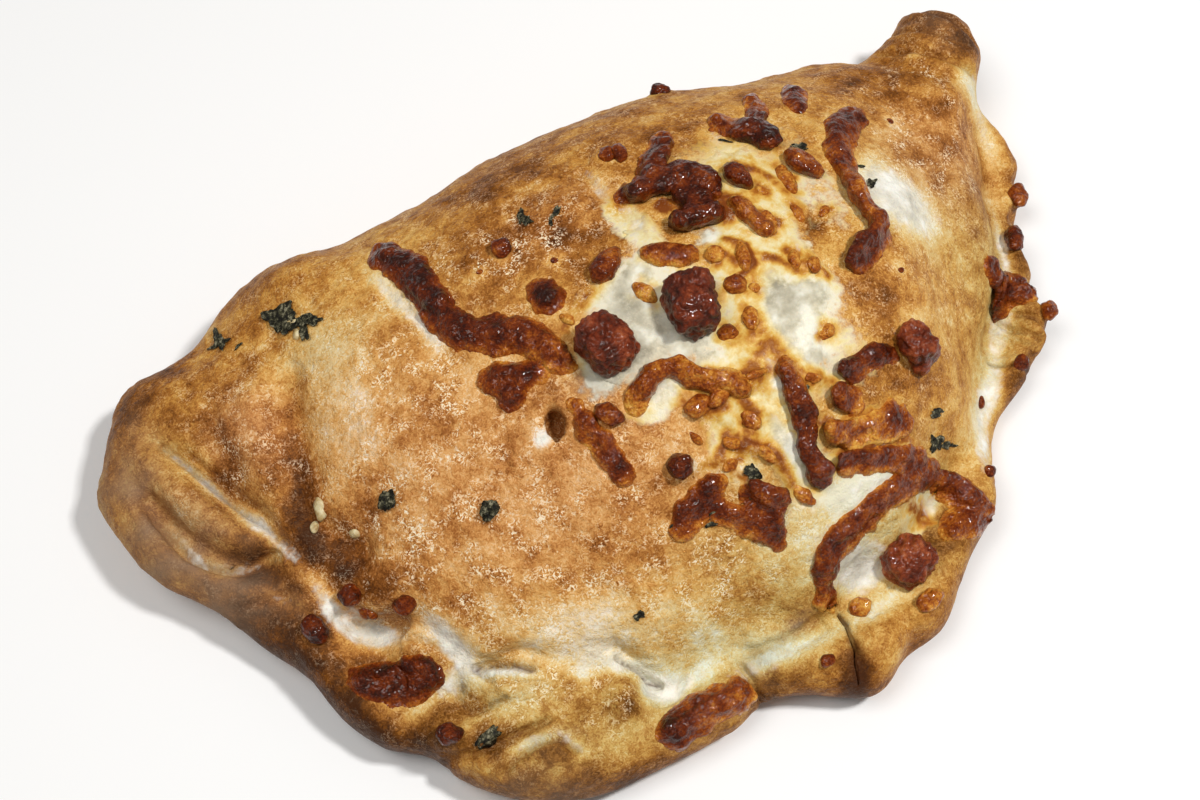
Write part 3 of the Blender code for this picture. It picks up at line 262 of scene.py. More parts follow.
# Low golden ridges of cheese between the beads: path, half width, height, how toasted
WEBS = rows(
    Crease,
    (((-13, 13.5), (-10, 15.5), (-6, 18)), 1.4, 0.4, 0.6),
    (((16, 14), (19, 13), (20.5, 10)), 1.3, 0.5, 0.65),
    (((20, 7), (23, 8.5), (23.6, 12.5), (21, 15)), 0.9, 0.7, 0.95),
    (((26, 24), (28.5, 21), (30, 16), (32, 14)), 1.1, 0.7, 0.85),
    (((15, 28), (19, 27), (24, 25), (24, 20)), 1.9, 0.5, 1.05),
    (((22, -28.6), (28, -29.2), (34, -29.6), (38, -31)), 1.5, 0.3, 0.6),
    (((32, -37.6), (35, -40.4), (36.5, -43.5)), 1.5, 0.4, 0.6),
    (((40, -37.5), (42.5, -40), (43.5, -43)), 1.6, 0.4, 0.9),
    (((26, -38.8), (30, -37.6), (34, -36.6)), 1.5, 0.3, 0.7),
    (((32, 30), (35, 27), (37.5, 22), (38.5, 15)), 1, 0.5, 0.6),
    (((36, 42), (39, 37), (42, 31), (44, 23)), 1.2, 0.5, 0.55),
    (((26, 9), (28, 7), (29.5, 4)), 1, 0.4, 0.7), (((31, 5), (34, 3), (34.5, 0.5)), 1, 0.5, 0.8),
    (((-1, -9.5), (3, -12.5), (6, -10)), 1.6, 0.7, 0.95),
    (((5, -7), (9, -10), (12.5, -11.5)), 1.4, 0.7, 0.8),
    (((8, -12.5), (9.6, -17), (7.5, -19)), 1.2, 0.6, 0.75),
    (((0, -20), (3.5, -18.5), (5, -21)), 1.1, 0.5, 0.8),
    (((12, -11), (14.5, -8), (18, -6.5), (19, -11)), 1.7, 0.4, 0.5),
    (((18, -12), (22, -15), (26, -17.5), (27, -20)), 1.2, 0.4, 0.6),
    (((20, -23), (25, -24.5), (31, -25)), 1.7, 0.5, 0.8),
    (((6, -20.5), (9.5, -24), (10.5, -29)), 1.3, 0.8, 0.8),
    (((-3, -20), (1, -21.5), (3, -25)), 1.6, 0.4, 0.7), (((14, 5), (17, 7), (19, 4)), 1.3, 0.4, 0.6),
    (((11, -3), (15, -4.5), (18, -2)), 1.3, 0.3, 0.5),
)
# The split across the rim, and a burst bubble and its depth
SPLIT = ((10.6, -50), (10.9, -52.5), (10.2, -55), (9.7, -57.5), (8.4, -60), (7.6, -63))
BUBBLE = Patch(-23.2, -1, 3.3, 2, 100, 75)
BUBBLE_DEPTH = 3.4

# How brown each bead of cheese is, from 0, orange, to 1, nearly black, by the end of its name
BEAD_BROWN = {
    "strand_fold": 0.72, "crumb_left": 0.66, "drop": 0.78, "crumb_pool": 0.58, "cluster_top": 0.66,
    "cluster_fold": 0.64, "flake_fold": 0.74, "flake_crown": 0.44, "strand_right": 0.57, "flake_mid": 0.66,
    "flake_ham": 0.4, "curl_pool": 0.36, "strand_low": 0.6, "arc": 0.29, "cluster_low": 0.51,
    "column": 0.56, "strand_ham": 0.7, "crumb_right": 0.5, "strand_mid": 0.28, "fork": 0.5,
    "rim_left": 0.74, "rim_front": 0.74, "rim_right": 0.6,
}
# Ends and edges of the beads that stayed lighter or went darker
BEAD_SHADES = rows(
    Patch,
    (-17, 11, 3.5, 5, -30, 20), (-24, 16, 4, 4, -14), (20.5, -15, 3.4, 3.2, -42), (-31.5, 42, 4, 9, 8),
    (2, 22, 2.5, 2.5, -15), (20, 32, 6, 5, 5), (20, 24, 5, 3, 12), (38, 43, 4, 4, -20), (45, 43, 3, 4, -15),
    (42, 36, 4, 5, 20), (60, 32, 6, 4, 12), (50, 12, 3.4, 8, -18), (43, 2.5, 5, 3, 15), (-6, -3, 4, 3, 12),
    (17.5, -18, 3, 4, 20), (16, -29, 3, 3, 10), (-7, -25, 4, 3, 22), (4, -33, 4, 4, 8),
    (36, -26.5, 2.8, 2.6, 48), (24.5, -29, 3.2, 2, 16), (45, -43, 4, 5, 16), (39, -45, 3, 3, -10),
    (12, -42, 4, 3, 10), (39, -16, 4, 2, 15), (-15, -54, 6.5, 5, -32), (-66, -24.5, 3, 3, -8),
)

# Small crumbs that have baked onto the top: centre, half sizes, turn in degrees, height, brownness
Crumb = namedtuple("Crumb", "x y long wide turn high brown", defaults=(0,))
CRUMBS = rows(
    Crumb,
    # on the dough
    (-16, 35, 2, 1.9, 0, 1.4, 0.62), (12.2, 45.2, 1.9, 1.7, 0, 1.4, 0.55),
    (14.3, 44, 2.1, 1.7, 80, 1.4, 0.62), (-14.3, -5, 3.1, 2, -60, 1.6, 0.58),
    (-7, -18.5, 2.6, 2.5, 0, 1.9, 0.78), (-77.5, -7.5, 3.1, 2.1, 100, 1.8, 0.8),
    (-69, -5.5, 2.3, 2.1, 0, 1.8, 0.7), (-67.3, -9, 2, 1.3, -50, 1.1, 0.5),
    (-61, -12.8, 2.2, 2, 0, 1.8, 0.68), (-64, -37, 2.6, 2, -30, 1.5, 0.8), (4, -57, 1.5, 1.2, 0, 0.9, 0.6),
    (15, -50.7, 2.1, 1.9, 0, 1.3, 0.26), (27, -56, 3.1, 1.9, 10, 1.1, 0.3), (72, -21, 1.9, 1.5, 40, 1, 0.7),
    (86, 3.5, 3, 2, 70, 1.8, 0.7), (83, -14, 2.2, 1.8, 60, 1.6, 0.5), (93.5, 12.5, 3, 2, 70, 1.6, 0.5),
    (52.5, -38.5, 1.5, 1.2, 30, 1, 0.7), (60, -24.5, 1.4, 0.8, 60, 0.8, 0.5),
    (33, 61, 2.2, 1.6, -20, 1.2, 0.8), (-21.5, 33, 0.7, 0.6, 0, 0.5, 0.5),
    (-8.5, 27.5, 0.8, 0.7, 0, 0.5, 0.55), (70, 31.5, 0.9, 0.8, 0, 0.5, 0.6),
    (49.5, -2.8, 0.8, 0.6, 0, 0.4, 0.6), (46.5, 46.8, 0.8, 0.9, 0, 0.7, 0.9),
    # on the melted cheese
    (2.5, 12.5, 1.7, 2.9, 25, 1.2, 0.22), (22.2, 10.5, 1.4, 3.4, -20, 1.3, 0.3),
    (18, 6.2, 2.3, 2.1, 20, 1.6, 0.42), (1, -11, 3, 2, 10, 1.4, 0.34), (8.3, -17, 1.6, 2.4, 20, 1.2, 0.3),
    (3.3, -19, 1.2, 1.7, 40, 0.9, 0.32), (39.3, 23, 1.6, 3.8, -5, 1.1, 0.34),
    (29, -9, 1.8, 1.4, 20, 0.9, 0.28), (12, -1.5, 1.9, 1.8, 0, 1.2, 0.42),
    (30.5, 5.8, 1.2, 2.2, -25, 0.9, 0.26), (11.5, -31.5, 3, 1.3, -60, 1, 0.26),
    (17.2, -1, 1.6, 2.6, -20, 1.1, 0.28), (17.5, 13.2, 1.9, 1.7, 0, 1, 0.16),
    (33.5, 3.4, 1.3, 1.9, -30, 0.8, 0.22), (30.3, 15.2, 1.8, 2.3, 10, 1.2, 0.3),
    (21, 4, 1.1, 1.1, 0, 0.6, 0.15), (4.5, -11.5, 2.4, 1.6, 10, 1.3, 0.4),
    (13, -11, 2.4, 0.8, 0, 0.7, 0.24), (18.5, -11.8, 1.5, 1.6, 20, 0.9, 0.36),
    (-2, -15.3, 0.8, 1.7, 20, 0.7, 0.4), (22.3, -15.6, 1.6, 1, -20, 0.7, 0.25),
    (33.4, 22.5, 1, 1.6, 20, 0.7, 0.22), (36.9, 15, 1.1, 2.2, 0, 0.9, 0.28),
    (42, 13.6, 1.4, 0.9, 30, 0.6, 0.26), (33.5, 41.2, 0.9, 0.8, 0, 0.6, 0.4),
    (1.5, -22, 1.6, 1.2, 0, 0.8, 0.3), (8.2, -23.5, 1.2, 2.2, 20, 0.8, 0.22),
    (9.2, -11.4, 1.5, 1, 30, 0.8, 0.3), (-12.3, 15, 1, 1.7, 25, 0.8, 0.12),
)
# Flakes of dried herbs: centre, half sizes, turn in degrees, how far the blade curls up
Blade = namedtuple("Blade", "x y long wide turn curl")
HERBS = rows(
    Blade,
    (-69.8, 53.6, 2.4, 1, 75, 0.6), (-70.2, 52.6, 2, 0.8, -30, 0.5), (-9.2, 40.2, 1.9, 0.7, 70, 0.6),
    (-8.6, 38.8, 1.6, 0.6, 110, 0.5), (-3, 37.2, 1.6, 0.5, 35, 0.3), (-5, 35.8, 1, 0.4, 60, 0.3),
    (-55.8, 4.1, 1.9, 1.5, 20, 1.3), (-55.6, 3.6, 1.6, 1.4, 100, 1.2), (-40.6, -8.2, 1.9, 1.5, 10, 1.3),
    (-40.4, -7.8, 1.5, 1.3, 80, 1.2), (-24.3, -35.4, 1.1, 0.6, -20, 0.4), (45.2, -27, 1.4, 0.6, 0, 0.3),
    (43.2, -31.1, 2.3, 1.1, -10, 0.6), (46.2, -31.6, 1.8, 0.4, -5, 0.2), (42.5, -31.6, 1.6, 0.6, 30, 0.4),
    (-58.5, -40.6, 2.3, 1.1, 12, 0.5), (46.3, 29.2, 1.6, 0.9, -20, 0.7), (54.7, 16, 1.3, 0.7, 30, 0.4),
    (55.2, 20.8, 1, 0.3, -30, 0.2), (33.6, 37.2, 1.2, 0.25, -40, 0.2), (19.5, -16.8, 1.2, 0.9, 0, 0.8),
    (4.2, -25, 1.2, 1.6, 10, 0.7), (3.6, -27.5, 1.3, 0.8, 60, 0.7), (-4.5, -28.4, 1.9, 0.7, -10, 0.5),
    (-11.4, -27.3, 1.3, 1.5, 10, 0.6), (-67, 49.2, 1, 0.25, 5, 0.2),
)
# The blades of the large leaf
PARSLEY = rows(
    Blade,
    (-58.2, 49.6, 3.2, 2.4, -50, 0.8), (-57.2, 47.4, 2.8, 2, -70, 0.9), (-55.6, 45.6, 2.4, 1.3, -40, 0.7),
    (-53.2, 44, 2.6, 0.9, -38, 0.6), (-55, 42.2, 2, 1, 70, 0.6),
)
# Bits of garlic
GARLIC = rows(
    Crumb,
    (-67, 11.2, 2.3, 1.2, 75, 0.9), (-69.3, 9.2, 1.2, 0.8, 50, 0.6), (-63.3, 4, 1.2, 1, 0, 0.8),
    (-56.3, 43.3, 1.3, 0.9, 60, 0.7), (-56, 46.2, 1.4, 0.8, -20, 0.8), (4.6, -26.6, 0.9, 0.8, 0, 0.9),
)
# How brown each cube of ham is, by the end of its name
HAM_BROWN = {"left": 0.56, "middle": 0.68, "right": 0.5, "front": 0.44}
# fmt: on


# Small helpers


def linear(code):
    """A colour that is written as sRGB hex, as the linear values that materials use."""
    parts = [int(code[i : i + 2], 16) / 255 for i in (1, 3, 5)]
    return tuple(c / 12.92 if c <= 0.04045 else ((c + 0.055) / 1.055) ** 2.4 for c in parts) + (1.0,)


def step(low, high, values):
    """Rises smoothly from 0 at low to 1 at high."""
    t = np.clip((values - low) / (high - low), 0, 1)
    return t * t * (3 - 2 * t)


def bell(away):
    """Falls smoothly from 1 at no distance to nearly 0 at 2."""
    return np.exp(-(away**2))


def new_piece(name, bm, material):
    """Makes an object of a mesh in metres, smooth all over, with its origin at the frame's."""
    mesh = bpy.data.meshes.new(name)
    bm.to_mesh(mesh)
    bm.free()
    obj = bpy.data.objects.new(name, mesh)
    bpy.context.scene.collection.objects.link(obj)
    mesh.materials.append(material)
    mesh.shade_smooth()
    return obj


def copy_of(node):
    """A CAD node's mesh as one closed skin."""
    bm = bmesh.new()
    bm.from_mesh(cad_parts[node].data)
    bmesh.ops.remove_doubles(bm, verts=bm.verts[:], dist=1e-6)
    return bm


def apply_modifiers(obj):
    graph = bpy.context.evaluated_depsgraph_get()
    mesh = bpy.data.meshes.new_from_object(obj.evaluated_get(graph))
    obj.modifiers.clear()
    obj.data = mesh


def refine(obj, grid, rounds, soft):
    """Rounds a copied solid off and gives it an even, fine grid, in millimetres."""
    if rounds:
        rounder = obj.modifiers.new("rounder", "SUBSURF")
        rounder.levels = rounder.render_levels = rounds
    remesh = obj.modifiers.new("even_grid", "REMESH")
    remesh.mode = "VOXEL"
    remesh.voxel_size = grid * MM
    remesh.use_smooth_shade = True
    smooth = obj.modifiers.new("soft", "SMOOTH")
    smooth.iterations = soft
    apply_modifiers(obj)
    drop_scraps(obj)


def drop_scraps(obj):
    """Keeps a mesh's largest shell and deletes the loose scraps that a grid can leave beside it."""
    bm = bmesh.new()
    bm.from_mesh(obj.data)
    unseen, largest = set(bm.verts), set()
    while unseen:
        front = [unseen.pop()]
        shell = set(front)
        while front:
            vert = front.pop()
            for other in (edge.other_vert(vert) for edge in vert.link_edges):
                if other in unseen:
                    unseen.discard(other)
                    shell.add(other)
                    front.append(other)
        largest = max(largest, shell, key=len)
    bmesh.ops.delete(bm, geom=[vert for vert in bm.verts if vert not in largest], context="VERTS")
    bm.to_mesh(obj.data)
    bm.free()


def add_part(whole, bm):
    """Adds a small mesh to that of a whole piece, and frees it."""
    mesh = bpy.data.meshes.new("part")
    bm.to_mesh(mesh)
    bm.free()
    whole.from_mesh(mesh)
    bpy.data.meshes.remove(mesh)


def turned(bm, degrees):
    bmesh.ops.rotate(bm, matrix=Matrix.Rotation(math.radians(degrees), 3, "Z"), verts=bm.verts[:])


def scaled(bm, *size):
    bmesh.ops.scale(bm, vec=size, verts=bm.verts[:])


def vectors(items, key):
    """A vector for each item of a mesh, such as its points' places, as rows of an array."""
    flat = np.empty(len(items) * 3, np.float32)
    items.foreach_get(key, flat)
    return flat.reshape(-1, 3).astype(float)


def skin_of(obj):
    """The mesh's points in millimetres, and the way that each faces."""
    return vectors(obj.data.vertices, "co") / MM, vectors(obj.data.vertex_normals, "vector")


def set_points(obj, points):
    obj.data.vertices.foreach_set("co", (points * MM).astype(np.float32).ravel())
    obj.data.update()


def write_marks(obj, **marks):
    """Keeps a number from 0 to 1 for each point, by name, for the material."""
    for name, values in marks.items():
        layer = obj.data.attributes.new(name, "FLOAT", "POINT")
        layer.data.foreach_set("value", np.clip(values, 0, 1).astype(np.float32))


def unevenness(points, span, seed=0.0):
    """Smooth noise from about -1 to 1; span is the breadth of its swells in millimetres."""
    return np.array([noise.noise(p) for p in (points / span + seed).tolist()])


def bubbles(points, span, seed=0.0):
    """Round swells on a random grid, from 0 between them to 1 on their tops."""
    near = np.array([noise.voronoi(p)[0][0] for p in (points / span + seed).tolist()])
    return np.clip(1 - (near / 0.6) ** 2, 0, 1)


def wander(points, far, near):
    """Plan positions shifted unevenly, so that patches get natural outlines."""
    shift = [
        far * unevenness(points, 11.0, seed) + near * unevenness(points, 3.2, seed + 5)
        for seed in (20.3, 40.7)
    ]
    return points[:, :2] + np.stack(shift, axis=1)


def cover(plan, patch, edge):
    """How much a patch covers each point, from 0 to 1; edge is the softness of its outline."""
    turn = math.radians(patch.turn)
    offset = plan - (patch.x, patch.y)
    along = (offset[:, 0] * math.cos(turn) + offset[:, 1] * math.sin(turn)) / patch.long
    across = (offset[:, 1] * math.cos(turn) - offset[:, 0] * math.sin(turn)) / patch.wide
    return 1 / (1 + np.exp(np.clip((np.hypot(along, across) - 1) / edge, -30, 30)))


def summed(plan, patches, edge):
    """The patches' amounts added up at each point."""
    return sum(patch.percent / 100 * cover(plan, patch, edge) for patch in patches)


def joined(plan, patches, edge):
    """The patches laid over each other, from 0 to 1, or more where one is over 100 percent."""
    left = np.ones(len(plan))
    for patch in patches:
        left *= 1 - patch.percent / 100 * cover(plan, patch, edge)
    return 1 - left


def distance_to(path, plan):
    """Distance of each plan point from a path."""
    best = np.full(len(plan), 1e9)
    for a, b in zip(np.array(path[:-1], float), np.array(path[1:], float)):
        t = np.clip(((plan - a) @ (b - a)) / ((b - a) @ (b - a)), 0, 1)
        best = np.minimum(best, np.linalg.norm(plan - a - t[:, None] * (b - a), axis=1))
    return best


class Ground:
    """The upper surface of finished pieces, for others to lie on. Millimetres in and out."""

    def __init__(self, *objects):
        bm = bmesh.new()
        for obj in objects:
            bm.from_mesh(obj.data)
        self.tree = BVHTree.FromBMesh(bm)
        bm.free()

    def at(self, x, y):
        """Height and normal at a plan position."""
        place, normal, _, _ = self.tree.ray_cast(Vector((x, y, ABOVE)) * MM, DOWN)
        return (place.z / MM, normal) if place else (0.0, UP)

    def heights(self, plan):
        return np.array([self.at(x, y)[0] for x, y in plan.tolist()])

    def slopes(self, plan, most):
        """How steep the ground is, as rise over run."""
        normals = [self.at(x, y)[1] for x, y in plan.tolist()]
        return np.array([min(math.hypot(n.x, n.y) / max(n.z, 0.05), most) for n in normals])


def add_node(tree, kind, inputs=None, out=None, stops=None, **settings):
    """Adds a shader node: its settings, its sockets' values or the sockets that feed them, a ramp's stops.

    Gives back the output that out names, or else the node."""
    node = tree.nodes.new(kind)
    for name, value in settings.items():
        setattr(node, name, value)
    for name, value in (inputs or {}).items():
        if isinstance(value, bpy.types.NodeSocket):
            tree.links.new(value, node.inputs[name])
        else:
            node.inputs[name].default_value = value
    if stops:
        ramp = node.color_ramp.elements
        while len(ramp) < len(stops):
            ramp.new(0.5)
        for element, (place, colour) in zip(ramp, stops):
            element.position = place
            element.color = linear(colour)
    return node if out is None else node.outputs[out]


def new_material(name):
    """An empty material, its tree, its object coordinates and its output's surface socket."""
    material = bpy.data.materials.new(name)
    material.use_nodes = True
    tree = material.node_tree
    tree.nodes.clear()
    output = add_node(tree, "ShaderNodeOutputMaterial")
    place = add_node(tree, "ShaderNodeTexCoord", out="Object")
    return material, tree, place, output.inputs["Surface"]


def per_mm(span):
    """The scale of a pattern whose features are that many millimetres broad."""
    return 1 / (span * MM)


# Materials

MATH, MIX, NOISE = "ShaderNodeMath", "ShaderNodeMix", "ShaderNodeTexNoise"
RANGE, RAMP, BUMP = "ShaderNodeMapRange", "ShaderNodeValToRGB", "ShaderNodeBump"
ATTRIBUTE, SHADER = "ShaderNodeAttribute", "ShaderNodeBsdfPrincipled"
MARKS = ("browned", "raw", "cheese", "white", "glassy", "toast", "grey", "pink", "olive", "glints", "dark")


def baked_dough(look):
    """Baked wheat dough with cheese melted into it: dry and mottled, but wet where the cheese lies."""
    material, tree, place, surface = new_material("baked wheat crust")
    mark = {name: add_node(tree, ATTRIBUTE, out="Fac", attribute_name=name) for name in MARKS}

    # blotches of 5 mm, specks of 1.6 mm and streaky grain of 0.7 mm, as broad as the real crust's
    inputs = {"Vector": place, "Scale": per_mm(5), "Detail": 3.0, "Roughness": 0.55}
    blotch = add_node(tree, NOISE, inputs, "Fac")
    inputs = {"Vector": place, "Scale": per_mm(1.6), "Detail": 2.0, "Roughness": 0.6}
    speck = add_node(tree, NOISE, inputs, "Fac")
    inputs = {"Vector": place, "Scale": per_mm(0.7), "Detail": 1.0, "Distortion": 1.6}
    grain = add_node(tree, NOISE, inputs, "Fac")
    # the dried skin is crinkled and oily in clusters 4 mm broad and less rough there, and its glints there
    # are painted highlights in cream flecks
    inputs = {"Vector": place, "Scale": per_mm(4), "Detail": 3.0, "Roughness": 0.7}
    cluster = add_node(tree, NOISE, inputs, "Fac")
    cluster = add_node(tree, RANGE, {"Value": cluster, "From Min": 0.46, "From Max": 0.6}, 0)
    sparkle = add_node(tree, MATH, {0: cluster, 1: mark["glints"]}, 0, operation="MULTIPLY")
    inputs = {0: sparkle, 1: look.sparkle, 2: look.grain}
    contrast = add_node(tree, MATH, inputs, 0, operation="MULTIPLY_ADD")
    coarse = add_node(tree, MATH, {0: grain, 1: 0.5}, 0, operation="SUBTRACT")

    # the browning, uneven at each of those sizes, and paler towards the raw parts; in the glinting clusters
    # the grain swings harder and the colour pales a little, as painted glints and sheen
    level = mark["browned"]
    for pattern, strength in (
        (blotch, look.blotches),
        (speck, look.specks),
        (coarse, contrast),
        (mark["raw"], -0.5),
        (sparkle, -0.06),
    ):
        level = add_node(tree, MATH, {0: pattern, 1: strength, 2: level}, 0, operation="MULTIPLY_ADD")
    middle = (look.blotches + look.specks) / 2
    level = add_node(tree, MATH, {0: level, 1: middle}, 0, operation="SUBTRACT")
    stops = (
        (0.0, "#F1E4BE"),
        (0.2, "#E9CA86"),
        (0.38, "#DAA857"),
        (0.52, "#C0853A"),
        (0.66, "#9B6023"),
        (0.8, "#713F0E"),
        (1.0, "#44220A"),
    )
    colour = add_node(tree, RAMP, {"Fac": level}, "Color", stops)
    # what each channel is multiplied by, so these are no colours
    for name, tint in (("pink", (1.05, 0.97, 1.55, 1.0)), ("olive", (0.84, 1.03, 1.3, 1.0))):
        inputs = {0: mark[name], 6: colour, 7: tint}
        colour = add_node(tree, MIX, inputs, 2, data_type="RGBA", blend_type="MULTIPLY")
    colour = add_node(tree, MIX, {0: mark["grey"], 6: colour, 7: linear("#8D735C")}, 2, data_type="RGBA")

    # outlines of the melted and of the raw patches follow the blotches and specks
    ragged = add_node(tree, MATH, {0: blotch, 1: speck}, 0, operation="ADD")
    ragged = add_node(tree, MATH, {0: ragged, 1: 1.0}, 0, operation="SUBTRACT")
    masks = {}
    for name, reach, low, high in (
        ("cheese", 0.8, 0.28, 0.72),
        ("white", 0.8, 0.32, 0.8),
        ("raw", 0.7, 0.42, 0.95),
    ):
        level = add_node(tree, MATH, {0: ragged, 1: reach, 2: mark[name]}, 0, operation="MULTIPLY_ADD")
        inputs = {"Value": level, "From Min": low, "From Max": high}
        masks[name] = add_node(tree, RANGE, inputs, "Result", interpolation_type="SMOOTHSTEP")

    # cheese is white where it only melted, then yellow, gold and brown towards the beads
    toast = add_node(tree, MATH, {0: blotch, 1: 0.7, 2: mark["toast"]}, 0, operation="MULTIPLY_ADD")
    toast = add_node(tree, MATH, {0: speck, 1: 0.8, 2: toast}, 0, operation="MULTIPLY_ADD")
    toast = add_node(tree, MATH, {0: toast, 1: 0.76}, 0, operation="SUBTRACT")
    stops = (
        (0.0, "#EBE3C9"),
        (0.2, "#E8D7A0"),
        (0.42, "#DDB45C"),
        (0.62, "#C68A34"),
        (0.8, "#A2601F"),
        (1.0, "#7C3E15"),
    )
    film = add_node(tree, RAMP, {"Fac": toast}, "Color", stops)
    colour = add_node(tree, MIX, {0: masks["cheese"], 6: colour, 7: film}, 2, data_type="RGBA")
    for name, stops in (
        ("white", ((0.34, "#968F7B"), (0.5, "#C8C0A8"), (0.64, "#EFEBD8"))),
        ("raw", ((0.34, "#BDB7AA"), (0.5, "#E6E1D2"), (0.64, "#F8F5EA"))),
    ):
        pale = add_node(tree, RAMP, {"Fac": blotch}, "Color", stops)
        colour = add_node(tree, MIX, {0: masks[name], 6: colour, 7: pale}, 2, data_type="RGBA")

    # grey of glassy cheese, and painted shade where the patches lie along the creases
    glassy = add_node(tree, MATH, {0: ragged, 1: 0.6, 2: mark["glassy"]}, 0, operation="MULTIPLY_ADD")
    glassy = add_node(tree, MATH, {0: glassy, 1: mark["glassy"]}, 0, operation="MULTIPLY", use_clamp=True)
    colour = add_node(tree, MIX, {0: glassy, 6: colour, 7: linear("#8F8876")}, 2, data_type="RGBA")

    # painted highlights: cream flecks on the crinkles, where the film of oil would glint
    painted_glint = add_node(tree, RANGE, {"Value": grain, "From Min": 0.47, "From Max": 0.39}, 0)
    painted_glint = add_node(tree, MATH, {0: painted_glint, 1: sparkle}, 0, operation="MULTIPLY")
    painted_glint = add_node(tree, MATH, {0: painted_glint, 1: look.flecks}, 0, operation="MULTIPLY", use_clamp=True)
    colour = add_node(tree, MIX, {0: painted_glint, 6: colour, 7: linear("#FFF1D2")}, 2, data_type="RGBA")
    # painted shade in the creases, along the split and in the bubble's pit
    colour = add_node(tree, MIX, {0: mark["dark"], 6: colour, 7: linear("#4A2612")}, 2, data_type="RGBA")

    # relief too fine for the mesh, in millimetres, and flatter under the melted cheese
    relief = add_node(tree, MATH, {0: speck, 1: look.speck_relief / MM}, 0, operation="MULTIPLY")
    inputs = {0: grain, 1: look.grain_relief / MM, 2: relief}
    relief = add_node(tree, MATH, inputs, 0, operation="MULTIPLY_ADD")
    flat = add_node(tree, MATH, {0: masks["cheese"], 1: -0.6, 2: 1.0}, 0, operation="MULTIPLY_ADD")
    relief = add_node(tree, MATH, {0: relief, 1: flat}, 0, operation="MULTIPLY")
    normal = add_node(tree, BUMP, {"Height": relief, "Distance": MM, "Strength": 1.0}, "Normal")

    gloss = 0.36
    for pattern, strength in ((speck, 0.3), (sparkle, -0.1), (masks["cheese"], -0.16), (mark["grey"], 0.3)):
        gloss = add_node(tree, MATH, {0: pattern, 1: strength, 2: gloss}, 0, operation="MULTIPLY_ADD")
    inputs = {
        "Base Color": colour,
        "Roughness": gloss,
        "Normal": normal,
        "IOR": 1.45,
        "Specular IOR Level": 0.24,
        "Specular Tint": linear("#FFE7BF"),
        "Subsurface Weight": 0.06,
        "Subsurface Radius": (0.002, 0.0011, 0.0006),
        "Subsurface Scale": 0.5,
    }
    shader = add_node(tree, SHADER, inputs, "BSDF")
    tree.links.new(shader, surface)
    return material


def browned_cheese(look):
    """Fried-out grated cheese: a glassy red-brown skin over fat, bubbled, orange where it is thin."""
    material, tree, place, surface = new_material("browned grated cheese")
    browned = add_node(tree, ATTRIBUTE, out="Fac", attribute_name="browned")
    inputs = {"Vector": place, "Scale": per_mm(2.6), "Detail": 3.0, "Roughness": 0.6}
    blotch = add_node(tree, NOISE, inputs, "Fac")
    inputs = {"Vector": place, "Scale": per_mm(1.3), "Randomness": 1.0}
    bubble = add_node(tree, "ShaderNodeTexVoronoi", inputs, "Distance", feature="SMOOTH_F1")
    inputs = {"Vector": place, "Scale": per_mm(0.45), "Detail": 2.0, "Roughness": 0.6}
    grain = add_node(tree, NOISE, inputs, "Fac")
    inputs = {"Vector": place, "Scale": per_mm(1.2), "Detail": 1.0, "Distortion": 0.4}
    pitted = add_node(tree, NOISE, inputs, "Fac")
    level = add_node(tree, MATH, {0: blotch, 1: look.blotches, 2: browned}, 0, operation="MULTIPLY_ADD")
    level = add_node(tree, MATH, {0: grain, 1: 0.7, 2: level}, 0, operation="MULTIPLY_ADD")
    level = add_node(tree, MATH, {0: level, 1: (look.blotches + 0.7) / 2}, 0, operation="SUBTRACT")
    stops = (
        (0.0, "#DDA548"),
        (0.18, "#C47C2C"),
        (0.34, "#A35718"),
        (0.5, "#80380C"),
        (0.66, "#652406"),
        (0.84, "#451404"),
        (1.0, "#2C0C05"),
    )
    colour = add_node(tree, RAMP, {"Fac": level}, "Color", stops)
    relief = add_node(tree, MATH, {0: bubble, 1: -look.bubble_relief / MM}, 0, operation="MULTIPLY")
    inputs = {0: pitted, 1: look.pit_relief / MM, 2: relief}
    relief = add_node(tree, MATH, inputs, 0, operation="MULTIPLY_ADD")
    # the coat of fat runs over the pits, but not into the grain
    smooth = add_node(tree, BUMP, {"Height": relief, "Distance": MM, "Strength": 1.0}, "Normal")
    relief = add_node(tree, MATH, {0: grain, 1: 0.3, 2: relief}, 0, operation="MULTIPLY_ADD")
    normal = add_node(tree, BUMP, {"Height": relief, "Distance": MM, "Strength": 1.0}, "Normal")
    gloss = add_node(tree, MATH, {0: blotch, 1: 0.4, 2: 0.12}, 0, operation="MULTIPLY_ADD")
    inputs = {
        "Base Color": colour,
        "Roughness": gloss,
        "Normal": normal,
        "IOR": 1.45,
        "Specular IOR Level": 0.15,
        "Specular Tint": linear("#FFDAB3"),
        "Coat Weight": 0.7,
        "Coat IOR": 1.36,
        "Coat Roughness": 0.05,
        "Coat Normal": smooth,
    }
    shader = add_node(tree, SHADER, inputs, "BSDF")
    tree.links.new(shader, surface)
    return material


